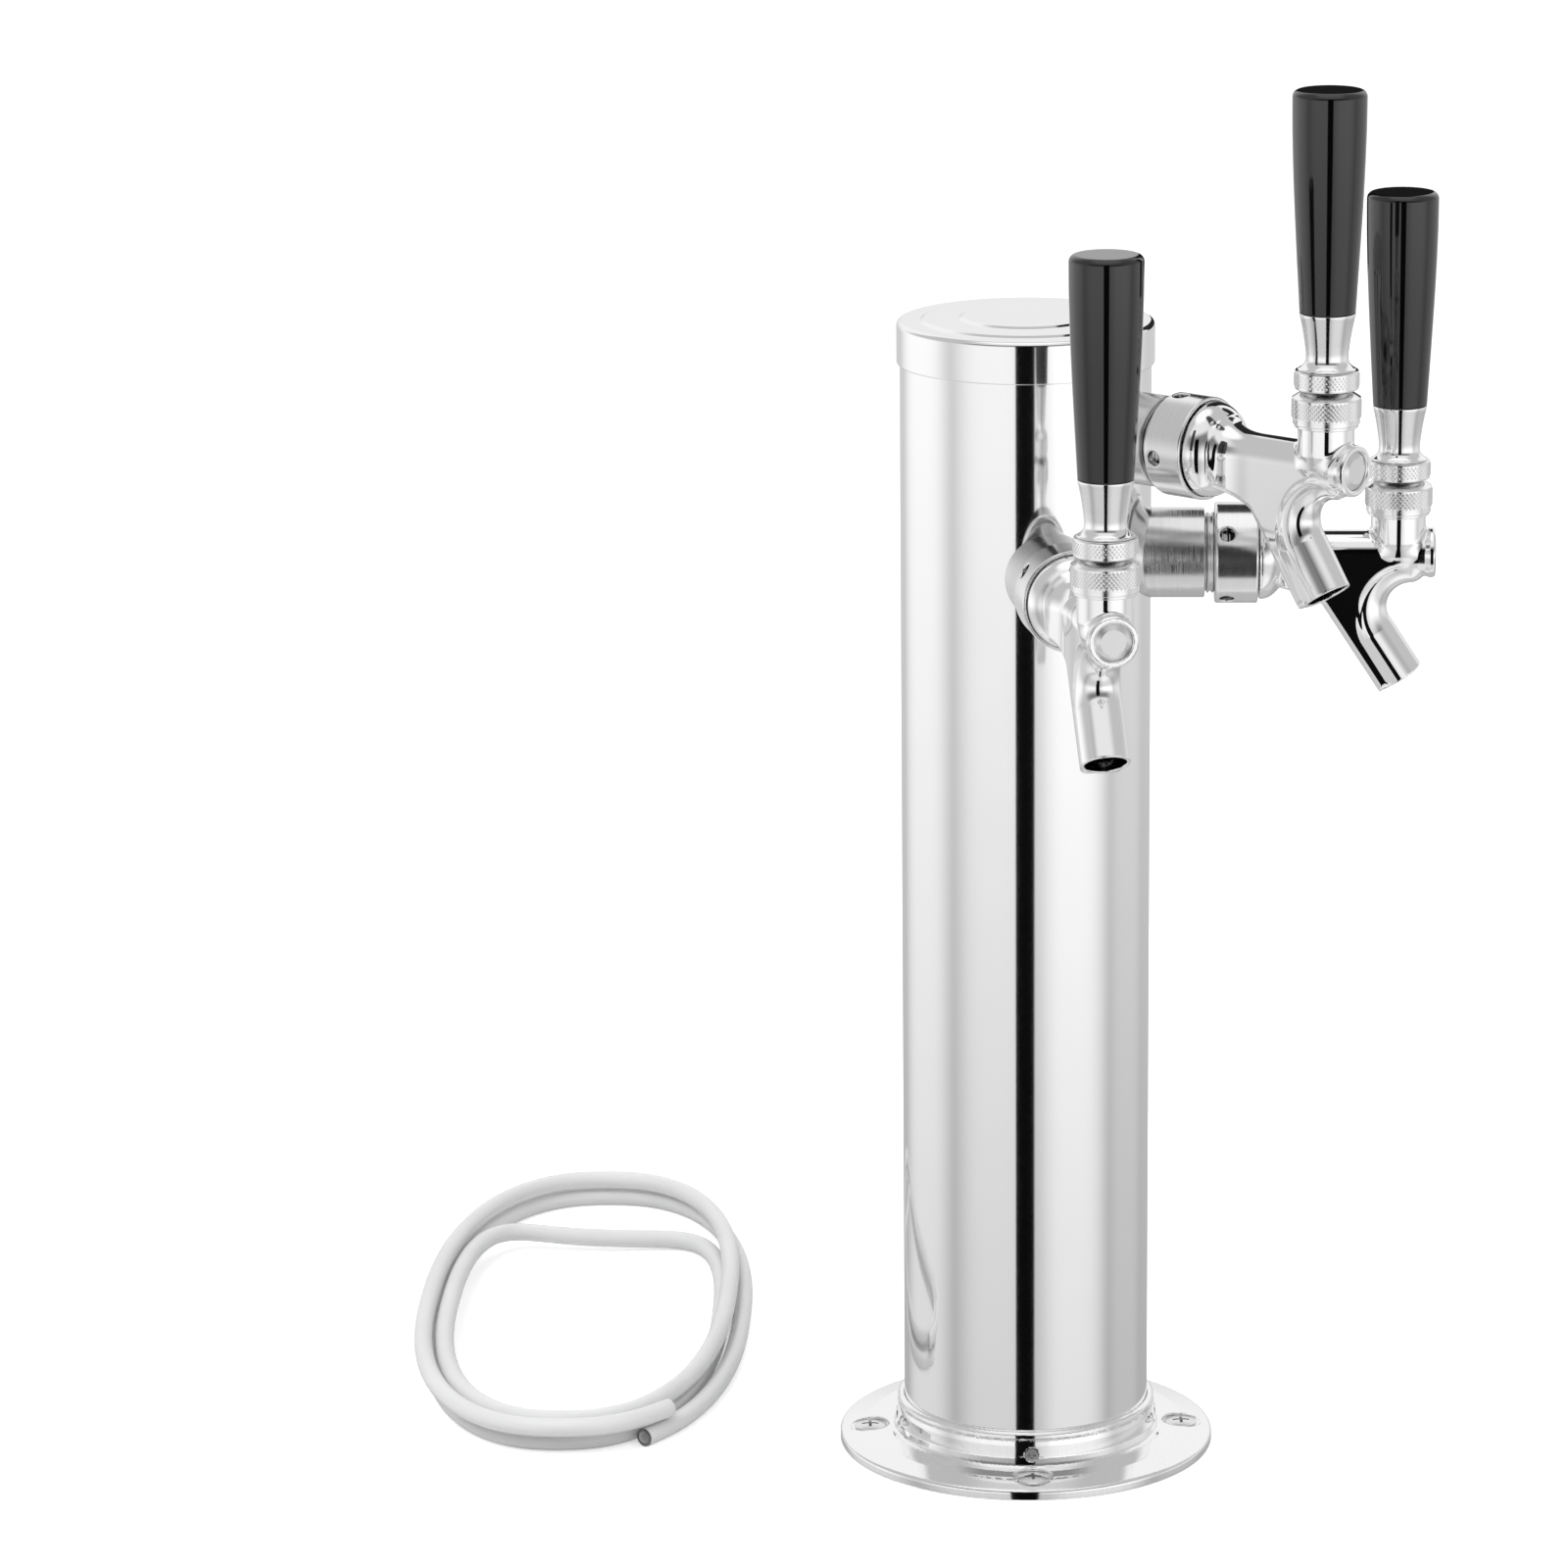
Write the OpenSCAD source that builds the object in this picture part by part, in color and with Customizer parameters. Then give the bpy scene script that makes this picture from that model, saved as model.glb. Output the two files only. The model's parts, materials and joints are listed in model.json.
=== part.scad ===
// Three-tap beer tower: a polished steel column on a round flange, with three
// faucets set round its front, the middle one higher than the other two.
// Millimetres, +Z up. The origin is the centre of the base's underside, and
// the middle tap points along -Y.

/* [Column] */
// Outer diameter of the column
column_d = 76.2; // [74:0.1:84]
// Wall of the column tube
column_wall = 1.2; // [1:0.1:2]
// Height of the column's top end above the worktop
column_top = 354.5; // [348:0.5:420]

/* [Top cap] */
// Wall of the cap's skirt
cap_wall = 0.9; // [0.6:0.1:1.6]
// Depth of the cap's skirt below its shoulder
cap_skirt = 11.3; // [6:0.1:13]
// Thickness of the cap's roof at its shoulder
cap_roof = 2.2; // [1.6:0.1:4]
// Height of each step of the cap's roof
cap_ledge_h = 0.6; // [0.3:0.1:1.2]
// Radius of the cap's rounded shoulder
cap_round = 1.5; // [0.8:0.1:2]

/* [Base] */
// Diameter of the base flange
flange_d = 116.8; // [115:0.2:140]
// Height of the flange's outer edge
flange_edge = 3.5; // [2.8:0.1:4.5]
// Height of the flange where it meets the collar
flange_crown = 5; // [4.6:0.1:6.5]
// Wall of the collar that holds the column
collar_wall = 2.4; // [1.8:0.1:4]
// Height of the collar's top
collar_top = 15.4; // [13:0.2:24]
// Thickness of the inner lip that carries the column
base_lip = 3; // [2:0.1:4]
// Radius of the opening for the beer lines
hose_opening_r = 34; // [28:0.5:35]
// Number of flange screws, and of set screws in the collar
screw_count = 4; // [3:1:6]
// Distance from the flange's edge to each flange screw's axis
screw_inset = 9.4; // [8.4:0.1:9.8]
// Turn of the first flange screw from the middle tap, in degrees
screw_turn = -48; // [-60:1:-30]

/* [Tap layout] */
// Turn of each outer tap from the middle one, in degrees
tap_turn = 39; // [37:1:60]
// Height of the outer taps' axes
low_tap_z = 285; // [200:1:288]
// Height of the middle tap's axis
high_tap_z = 326; // [322:1:326]

/* [Shank] */
// Distance from the column's axis to the outer end of the spacer sleeve
spacer_end = 54.4; // [50:0.2:56]
// Radius of the spacer sleeve
spacer_r = 13.7; // [13:0.1:14.5]
// Radius of the shank's threaded head
shank_head_r = 12.4; // [12:0.1:12.8]
// Length of the shank's threaded head
shank_head_len = 7.6; // [6:0.2:8]
// Radius of the shank's threaded tail
shank_tail_r = 7.5; // [6.5:0.1:7.8]
// Distance from the column's axis to the shank's inner end
shank_inner_end = 24; // [23:0.5:26]
// Radius of the beer way through the shank
beer_way_r = 3.2; // [2:0.1:4]
// Thickness of the clamp washer at its middle
clamp_washer_t = 3.3; // [2.8:0.1:4]
// Height of the lock nut
lock_nut_h = 5; // [4:0.5:6]
// Width across flats of the lock nut
lock_nut_flats = 22; // [20:0.5:23]
// Width across flats of the tail nut
tail_nut_flats = 18.5; // [17.5:0.5:19]
// Height of the tail nut
tail_nut_h = 8; // [7:0.5:9]
// Radius of the tail elbow's tube
elbow_r = 4.4; // [3.6:0.1:4.8]
// Distance from the column's axis to the elbow's vertical leg
elbow_reach = 12; // [11:0.5:13]
// Length of the elbow's barbed leg below the tap's axis
elbow_leg = 26; // [18:1:30]
// Number of barbs on the elbow
barb_count = 4; // [2:1:5]

/* [Coupling] */
// Outer radius of the coupling nut
coupling_r = 15.4; // [15:0.1:17]
// Length of the coupling nut
coupling_len = 13.1; // [12.5:0.1:14]
// Length of shank head left bare between the spacer and the coupling nut
coupling_gap = 2.9; // [1:0.1:3.2]
// Thickness of the coupling nut's inner lip
coupling_lip = 2.4; // [1.8:0.1:3]
// Number of spanner holes in the coupling nut
spanner_holes = 4; // [3:1:6]
// Radius of a spanner hole
spanner_hole_r = 2.2; // [1.5:0.1:2.4]
// Thickness of the coupling washer
coupling_washer_t = 2; // [1.5:0.1:2.4]

/* [Faucet body] */
// Distance from the column's axis to the faucet's neck and lever
neck_reach = 113; // [110:0.5:120]
// Radius of the faucet's horizontal barrel
barrel_r = 6.9; // [6.7:0.1:7.4]
// Radius of the neck under the bonnet
neck_r = 8.3; // [8.1:0.1:8.8]
// Radius of the boss round the shaft's front end
boss_r = 7.6; // [7.2:0.1:8.4]
// Distance from the neck's axis to the boss's front face
boss_len = 11.2; // [10.6:0.1:13]
// Radius of the dome's lip against the coupling nut
dome_r = 14.2; // [13.4:0.1:15]
// Length of the dome
dome_len = 15.4; // [13:0.1:17]
// Outer radius of the spout
spout_r = 7.3; // [7.1:0.1:7.6]
// Inner radius of the spout
spout_bore_r = 6.2; // [5.5:0.1:6.4]
// Angle of the spout from the vertical, in degrees
spout_lean = 33; // [28:1:36]
// Length of the spout's straight end
spout_len = 16.5; // [14:0.5:24]
// Radius of the hook that carries the beer back and down, at its middle
hook_r = 15.5; // [15.1:0.1:16.5]
// Thickness of the web at the height of the barrel's axis
web_t = 13; // [12:0.1:13.4]
// Thickness of the web at the spout's end
web_foot_t = 8.6; // [7:0.1:11]

/* [Bonnet and lever] */
// Outer radius of the bonnet
bonnet_r = 10.3; // [10.2:0.1:10.5]
// Height of the bonnet
bonnet_h = 10.5; // [10.2:0.1:11]
// Height of the bonnet's sloping top
bonnet_slope_h = 1.9; // [1.7:0.1:2.4]
// Height of the neck's shoulder, where the bonnet seats, above the tap's axis
bonnet_seat = 12; // [11.8:0.1:12.6]
// Radius of the lever's ball
ball_r = 6.2; // [6:0.1:6.3]
// Depth of the ball's centre below the bonnet's top
ball_depth = 7.5; // [7.2:0.1:7.7]
// Largest tilt of the lever that the bonnet leaves room for, in degrees
lever_tilt = 22; // [15:1:23]
// Radius of the lever's stem
stem_r = 3; // [2.6:0.1:3.1]
// Radius of the lever's tip in the shaft's slot
tip_r = 2.4; // [2:0.1:2.5]
// Radius of the lever's threaded end
lever_thread_r = 3.9; // [3.4:0.1:4.2]
// Length of the lever's threaded end
lever_thread_len = 24; // [20:1:26]
// Outer radius of the lever collar
lever_collar_r = 9.65; // [9.6:0.05:10]
// Height of the lever collar
lever_collar_h = 5.5; // [4.6:0.1:7]
// Gap between the bonnet and the lever collar
lever_collar_gap = 0.8; // [0.7:0.1:1.4]

/* [Shaft] */
// Radius of the shaft's front piston, which shows as a round button
piston_r = 5.6; // [5.2:0.1:5.7]
// Length of the shaft's front piston
piston_len = 6.6; // [5.5:0.1:7]
// Radius of the shaft's rod
rod_r = 3; // [2.4:0.1:3.4]
// Radius of the shaft's block round the lever's tip
block_r = 4.6; // [4.2:0.1:4.8]
// Outer radius of the seat washer
seat_washer_r = 5.8; // [5.5:0.1:6]
// Thickness of the seat washer
seat_washer_t = 2.3; // [1.8:0.1:3]

/* [Handle] */
// Height of the steel ferrule under the handle
ferrule_h = 16.7; // [14:0.1:22]
// Radius of the ferrule at its top
ferrule_top_r = 8.25; // [7.6:0.05:9]
// Radius of the ferrule at its waist
ferrule_waist_r = 6.2; // [5.8:0.1:7]
// Height of the black handle
handle_h = 65; // [45:1:100]
// Radius of the handle at its foot
handle_foot_r = 8.15; // [7.6:0.05:9]
// Radius of the handle at its widest
handle_top_r = 10.8; // [10:0.1:13]

/* [Beer line] */
// Outer radius of the beer line
line_r = 3; // [2.4:0.1:3.1]
// Number of loops in the coil
line_loops = 3; // [2:1:6]
// Half the width of the coil, to the line's middle
coil_half_w = 53.5; // [50:0.5:80]
// Half the length of the coil, to the line's middle
coil_half_l = 128; // [110:1:150]
// Distance between loops that lie side by side
coil_pitch = 7; // [6.8:0.1:9]

/* [Fits] */
// Gap between pieces that are fitted and stay put
seat_gap = 0.05; // [0.02:0.01:0.1]
// Gap round pieces that slide or turn in each other
run_gap = 0.08; // [0.05:0.01:0.1]
// Gap between pieces that pass each other as the lever moves
pass_gap = 0.35; // [0.3:0.05:0.5]

/* [Hidden] */
$fn = 72;
sides = ["left", "centre", "right"];
tap_parts = ["spacer", "shank", "clamp_washer", "lock_nut", "tail_nut", "tail_elbow",
    "coupling_nut", "coupling_washer", "faucet_body", "shaft", "seat_washer", "bonnet",
    "ball_washer", "lever", "lever_collar", "ferrule", "handle"];
tower_parts = ["column", "top_cap", "base_flange", "flange_screws", "collar_screws", "beer_line"];

// Overrun of a cut past the face that it opens
over = 1;
// Tap directions from the middle one, their heights and how far each coupling
// nut is turned in its thread
tap_turns = [-tap_turn, 0, tap_turn];
tap_heights = [low_tap_z, high_tap_z, low_tap_z];
nut_turns = [58, 7, 10];

// Column and its cap
column_r = column_d / 2;
column_bore_r = column_r - column_wall;
cap_r = column_r + run_gap + cap_wall;
cap_seat = 0.2;
cap_under = column_top + cap_seat;
cap_shoulder = cap_under + cap_roof - cap_round;
cap_ring_shares = [0.8, 0.5];

// Base
flange_r = flange_d / 2;
flange_round_share = 0.3;
screw_reach = flange_r - screw_inset;
collar_r = column_r + seat_gap + collar_wall;
collar_round = 0.8;
collar_groove = 0.5;
screw_r = 2.4;
screw_head_r = 5;
screw_head_h = 2.4;
screw_dome_h = 1;
screw_sink = 0.3;
screw_recess_r = 6;
cross_len = 2.6;
cross_w = 0.9;
cross_depth = 1.2;
set_screw_r = 2;
set_screw_z = 8.4;
set_screw_proud = 0.15;
set_cross_len = 1.3;
set_cross_depth = 0.8;

// Shank and what clamps it
shank_face = spacer_end + shank_head_len;
tail_hole_r = shank_tail_r + seat_gap;
clamp_outer = column_bore_r - seat_gap;
clamp_flat = column_bore_r - clamp_washer_t;
clamp_washer_r = 12.6;
lock_nut_inner = clamp_flat - lock_nut_h;
nut_chamfer = 0.8;
tail_lip = 2;
tail_nut_hang = 6;
tail_nut_inner = shank_inner_end - tail_nut_hang;
elbow_flange_t = 1.8;
elbow_flange_r = 6.9;
elbow_bore_r = 2.6;
barb_rise = 0.5;
barb_pitch = 3.6;

// Coupling
coupling_back = spacer_end + coupling_gap;
coupling_front = coupling_back + coupling_len;
coupling_chamfer = 1;
coupling_edge = 1.3;
coupling_edge_drop = 0.7;
spanner_inset = 3.7;
spanner_x = coupling_back + spanner_inset;
spanner_depth = 2.2;
spanner_sink = 0.7;
washer_back = shank_face + seat_gap;
washer_front = washer_back + coupling_washer_t;
washer_r = 12;
washer_hole_r = 5.5;
tail_flange_back = washer_front + seat_gap;
tail_flange_front = coupling_front - coupling_lip - seat_gap;
tail_flange_r = 12.2;
tail_stem_r = 10;

// Faucet body
boss_front = neck_reach + boss_len;
dome_back = coupling_front + pass_gap / 2;
dome_front = dome_back + dome_len;
dome_shares = [[0, 0.98], [0.05, 1], [0.17, 0.97], [0.29, 0.89], [0.4, 0.78], [0.48, 0.69],
    [0.53, 0.63], [0.66, 0.56], [0.82, 0.51]];
boss_flare = 5;
boss_band = 1.6;
neck_taper_r = 4.5;
hook_out = 5.2;
hook_drop = 16.2;
hook_x = neck_reach + hook_out;
hook_bore_r = 5.8;
hook_end = 180 + spout_lean;
hook_end_x = hook_x + hook_r * cos(hook_end);
hook_end_z = -hook_drop + hook_r * sin(hook_end);
spout_end_x = hook_end_x + spout_len * sin(spout_lean);
spout_end_z = hook_end_z - spout_len * cos(spout_lean);
web_edge_len = 32.6;
web_root_share = 0.45;
web_root_x = dome_back + dome_len * web_root_share;
web_root_z = 9.4;
web_bend_share = 0.064;

// Ball joint, lever and bonnet, by height above the tap's axis
bonnet_top = bonnet_seat + bonnet_h;
ball_z = bonnet_top - ball_depth;
socket_r = ball_r + run_gap;
bonnet_mouth_r = ball_depth * tan(lever_tilt) + stem_r / cos(lever_tilt) + pass_gap;
bonnet_rim_w = 0.7;
bonnet_rim_r = bonnet_mouth_r + bonnet_rim_w;
bonnet_lip_z = 3.5;
bonnet_lip_r = sqrt(socket_r * socket_r - bonnet_lip_z * bonnet_lip_z);
bonnet_band_r = 9.8;
bonnet_band_h = 2.4;
bonnet_foot_r = 9.4;
bonnet_foot_h = 1;
spigot_r = 7.9;
spigot_h = 2.2;
ball_washer_h = 2.6;
ball_washer_r = 7.85;
neck_bore_r = 5.7;
neck_slot_w = 2 * tip_r + 2 * pass_gap;
lever_arm = ball_z;
neck_slot_back = (lever_arm - barrel_r) * tan(lever_tilt) + tip_r / cos(lever_tilt) + 3 * pass_gap;
collar_foot = bonnet_top + lever_collar_gap;
collar_head = collar_foot + lever_collar_h;
collar_dish_r = 8.5;
collar_dish_h = 2;
collar_edge = 0.4;
ferrule_top = collar_head + ferrule_h;
ferrule_foot_r = 8.5;
ferrule_lip_share = 0.04;
ferrule_pull_share = 0.08;
ferrule_waist_share = 0.27;
ferrule_belly_share = 0.06;
ferrule_flare_share = 0.05;
ferrule_neck_share = 0.7;
ferrule_socket_r = 5.6;
ferrule_socket_h = 8;
insert_r = 5.5;
handle_round = 2;
handle_bore_len = 4;
handle_shares = [[0.05, 0.08], [0.3, 0.42], [0.6, 0.8], [0.82, 0.97]];

// Shaft
piston_back = boss_front - piston_len;
button_face_r = 3.75;
button_bevel = 1;
slot_half = tip_r + pass_gap;
block_front_wall = 1.2;
block_back_wall = 2.4;
block_front = neck_reach + slot_half + block_front_wall;
block_back = neck_reach - slot_half - block_back_wall;
block_top = 1;
shaft_bore_r = 5;
seat_x = 75;
chamber_r = 6.3;
shaft_head_r = 3.6;
shaft_head_len = 2;
seat_washer_front = seat_x - seat_gap;
seat_washer_back = seat_washer_front - seat_washer_t;

// Beer line, coiled on the worktop behind the tower's left side
coil_x = -10;
coil_y = 181;
coil_turn = -50.7;
coil_square = 2.4;
coil_fan = 44;
coil_rings = 24;
coil_start = -60;
line_sides = 6;
layer_gap = 0.5;
layer_rise = 2 * line_r + layer_gap;
line_end_len = 2 * line_r;

// A rod along the tap's own X axis
module rod_x(r, x0, x1)
{
    translate([x0, 0, 0])
        rotate([0, 90, 0])
            cylinder(r = r, h = x1 - x0);
}

// A turned piece on the tap's own X axis, from [x, radius] points
module turned_x(outline)
{
    rotate([0, 90, 0])
        rotate_extrude()
            polygon([for (p = outline) [p[1], p[0]]]);
}

// A turned upright piece, from [radius, z] points
module turned_z(outline)
{
    rotate_extrude()
        polygon(outline);
}

// Points of a round arc about c
function arc(c, r, a0, a1, n = 8) =
    [for (i = [0 : n]) c + r * [cos(a0 + (a1 - a0) * i / n), sin(a0 + (a1 - a0) * i / n)]];

// Points of a curve from a to b that is drawn towards k
function bent(a, k, b, n = 6) =
    [for (i = [0 : n]) let (t = i / n) (1 - t) * (1 - t) * a + 2 * t * (1 - t) * k + t * t * b];

// Places its children on tap i: X outward, Z up, origin on the column's axis
module at_tap(i)
{
    translate([0, 0, tap_heights[i]])
        rotate([0, 0, tap_turns[i] - 90])
            children();
}

// Places its children at each screw's angle, X outward
module at_screws()
{
    for (i = [0 : screw_count - 1])
        rotate([0, 0, screw_turn - 90 + 360 / screw_count * i])
            children();
}

// Steel tube, with a hole for each shank
module column()
{
    color("gainsboro")
        difference() {
            translate([0, 0, base_lip])
                cylinder(r = column_r, h = column_top - base_lip);
            translate([0, 0, base_lip - over])
                cylinder(r = column_bore_r, h = column_top - base_lip + 2 * over);
            for (i = [0 : len(sides) - 1])
                at_tap(i)
                    rod_x(tail_hole_r, clamp_flat, column_r + over);
        }
}

// Pressed lid with a skirt round the column and two steps in its roof
module top_cap()
{
    bore = column_r + run_gap;
    ring = cap_ring_shares * cap_r;
    roof = cap_under + cap_roof;
    color("gainsboro")
        turned_z(concat(
            [[0, cap_under], [bore, cap_under], [bore, cap_shoulder - cap_skirt],
                [cap_r, cap_shoulder - cap_skirt]],
            arc([cap_r - cap_round, cap_shoulder], cap_round, 0, 90),
            [[ring[0] + cap_ledge_h, roof], [ring[0], roof + cap_ledge_h],
                [ring[1] + cap_ledge_h, roof + cap_ledge_h], [ring[1], roof + 2 * cap_ledge_h],
                [0, roof + 2 * cap_ledge_h]]));
}

// Round flange with a collar for the column
module base_flange()
{
    socket = column_r + seat_gap;
    edge_round = flange_edge * flange_round_share;
    color("silver")
        difference() {
            turned_z(concat(
                [[hose_opening_r, 0], [flange_r, 0]],
                arc([flange_r - edge_round, flange_edge - edge_round], edge_round, 0, 90, 4),
                bent([flange_r - 2 * edge_round, flange_edge],
                    [(flange_r + collar_r) / 2, (flange_edge + flange_crown) / 2 + collar_groove],
                    [collar_r + 2 * collar_groove, flange_crown]),
                [[collar_r + collar_groove, flange_crown - collar_groove / 2],
                    [collar_r, flange_crown], [collar_r, collar_top - collar_round]],
                arc([collar_r - collar_round, collar_top - collar_round], collar_round, 0, 90, 4),
                [[socket, collar_top], [socket, base_lip], [hose_opening_r, base_lip]]));
            at_screws() {
                translate([screw_reach, 0, -over])
                    cylinder(r = screw_r + seat_gap, h = collar_top);
                translate([screw_reach, 0, flange_edge - screw_head_h])
                    cylinder(r1 = screw_r + seat_gap, r2 = screw_head_r + seat_gap, h = screw_head_h);
                translate([screw_reach, 0, flange_edge])
                    cylinder(r = screw_recess_r, h = collar_top);
                translate([0, 0, set_screw_z])
                    rod_x(set_screw_r + seat_gap, column_r - over, collar_r + over);
            }
        }
}

// Countersunk screws that hold the flange down, with cross recesses
module flange_screws()
{
    color("lightgray")
        at_screws()
            translate([screw_reach, 0, 0])
                difference() {
                    turned_z(concat(
                        [[0, seat_gap], [screw_r, seat_gap], [screw_r, flange_edge - screw_head_h],
                            [screw_head_r, flange_edge], [screw_head_r, flange_edge + screw_sink]],
                        bent([screw_head_r - screw_sink, flange_edge + 2 * screw_sink],
                            [screw_head_r / 2, flange_edge + screw_dome_h + screw_sink],
                            [0, flange_edge + screw_dome_h + screw_sink], 4)));
                    for (a = [0, 90])
                        rotate([0, 0, a])
                            translate([-cross_len, -cross_w / 2, flange_edge + screw_dome_h - cross_depth])
                                cube([2 * cross_len, cross_w, cross_depth + over]);
                }
}

// Set screws through the collar, tight on the column
module collar_screws()
{
    tip = column_r + seat_gap;
    head = collar_r + set_screw_proud;
    color("lightgray")
        at_screws()
            translate([0, 0, set_screw_z])
                difference() {
                    rod_x(set_screw_r, tip, head);
                    for (a = [0, 90])
                        rotate([a, 0, 0])
                            translate([head - set_cross_depth, -set_cross_len, -cross_w / 2])
                                cube([set_cross_depth + over, 2 * set_cross_len, cross_w]);
                }
}

// Sleeve between the column and the coupling, shaped to the column at one end
module spacer()
{
    color("gainsboro")
        difference() {
            rod_x(spacer_r, clamp_flat, spacer_end - seat_gap);
            translate([0, 0, -spacer_r - over])
                cylinder(r = column_r + seat_gap, h = 2 * spacer_r + 2 * over);
            rod_x(tail_hole_r, 0, spacer_end + over);
        }
}

// Threaded shank with its beer way
module shank()
{
    color("silver")
        difference() {
            union() {
                rod_x(shank_head_r, spacer_end, shank_face);
                rod_x(shank_tail_r, shank_inner_end, spacer_end + seat_gap);
            }
            rod_x(beer_way_r, shank_inner_end - over, shank_face + over);
        }
}

// Washer inside the column, round against the wall and flat for the nut
module clamp_washer()
{
    color("silver")
        difference() {
            intersection() {
                rod_x(clamp_washer_r, clamp_flat, column_r, $fn = 3 * $fn);
                translate([0, 0, -clamp_washer_r - over])
                    cylinder(r = clamp_outer, h = 2 * clamp_washer_r + 2 * over, $fn = 3 * $fn);
            }
            rod_x(tail_hole_r, 0, column_r + over, $fn = 3 * $fn);
        }
}

// A hexagonal block on the tap's X axis with chamfered corners
module hex_x(flats, x0, x1)
{
    corner = flats / 2 / cos(30);
    intersection() {
        translate([x0, 0, 0])
            rotate([0, 90, 0])
                cylinder(r = corner, h = x1 - x0, $fn = 6);
        turned_x([[x0, 0], [x0, corner - nut_chamfer], [x0 + nut_chamfer, corner],
            [x1 - nut_chamfer, corner], [x1, corner - nut_chamfer], [x1, 0]]);
    }
}

// Nut that pulls the shank and its spacer onto the column's wall
module lock_nut()
{
    color("darkgray")
        difference() {
            hex_x(lock_nut_flats, lock_nut_inner, clamp_flat - seat_gap);
            rod_x(tail_hole_r, 0, column_r);
        }
}

// Capped nut that holds the elbow on the shank's end
module tail_nut()
{
    outer = tail_nut_inner + tail_nut_h;
    color("darkgray")
        difference() {
            hex_x(tail_nut_flats, tail_nut_inner, outer);
            rod_x(tail_hole_r, tail_nut_inner + tail_lip, outer + over);
            rod_x(elbow_r + run_gap, tail_nut_inner - over, outer);
        }
}

// Elbow from the shank down to a barbed leg for the beer line
module tail_elbow()
{
    flange_back = tail_nut_inner + tail_lip + seat_gap;
    barb_foot = -elbow_leg;
    color("silver")
        difference() {
            union() {
                rod_x(elbow_r, elbow_reach, flange_back + elbow_flange_t);
                rod_x(elbow_flange_r, flange_back, flange_back + elbow_flange_t);
                rod_x(elbow_r - barb_rise, flange_back, shank_inner_end - seat_gap);
                translate([elbow_reach, 0, 0])
                    sphere(r = elbow_r);
                translate([elbow_reach, 0, barb_foot])
                    cylinder(r = elbow_r - 2 * barb_rise, h = elbow_leg);
                for (i = [0 : barb_count - 1])
                    translate([elbow_reach, 0, barb_foot + i * barb_pitch])
                        cylinder(r1 = elbow_r - 2 * barb_rise, r2 = elbow_r, h = barb_pitch);
            }
            translate([elbow_reach, 0, barb_foot - over])
                cylinder(r = elbow_bore_r, h = elbow_leg + over);
            rod_x(elbow_bore_r, elbow_reach, shank_inner_end + over);
            translate([elbow_reach, 0, 0])
                sphere(r = elbow_bore_r);
        }
}

// Coupling nut with radial holes for a pin spanner, turned by a. The seam of
// its turned ring lies midway between two holes
module coupling_nut(a)
{
    hole_turn = 360 / spanner_holes;
    color("gainsboro")
        rotate([a, 0, 0])
            difference() {
                rotate([90 + hole_turn / 2, 0, 0])
                    turned_x([[coupling_back, shank_head_r + seat_gap],
                        [coupling_back, coupling_r - coupling_chamfer],
                        [coupling_back + coupling_chamfer, coupling_r],
                        [coupling_front - coupling_edge, coupling_r],
                        [coupling_front, coupling_r - coupling_edge_drop],
                        [coupling_front, tail_stem_r + seat_gap],
                        [coupling_front - coupling_lip, tail_stem_r + seat_gap],
                        [coupling_front - coupling_lip, shank_head_r + seat_gap]]);
                for (i = [0 : spanner_holes - 1])
                    rotate([hole_turn * i, 0, 0])
                        translate([spanner_x, coupling_r, 0])
                            rotate([90, 0, 0])
                                turned_z([[0, -over], [spanner_hole_r + spanner_sink + over, -over],
                                    [spanner_hole_r, spanner_sink], [spanner_hole_r, spanner_depth],
                                    [0, spanner_depth]]);
            }
}

// Rubber washer between the shank and the faucet
module coupling_washer()
{
    color("dimgray")
        difference() {
            rod_x(washer_r, washer_back, washer_front);
            rod_x(washer_hole_r, washer_back - over, washer_front + over);
        }
}

// Outline of the web between the hook, the spout and the dome
function web_outline() =
    let (back = [-cos(spout_lean), -sin(spout_lean)],
        up = [-sin(spout_lean), cos(spout_lean)],
        spout_end = [spout_end_x, spout_end_z],
        corner = spout_end + spout_r * back,
        edge_top = corner + web_edge_len * up,
        root = [web_root_x, -web_root_z])
    concat(
        [[dome_front, 0]],
        bent(root, edge_top + web_bend_share * web_edge_len * up, edge_top),
        [corner + web_bend_share * web_edge_len * up, spout_end + web_bend_share * web_edge_len * up],
        arc([hook_x, -hook_drop], hook_r, hook_end, 90));

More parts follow.
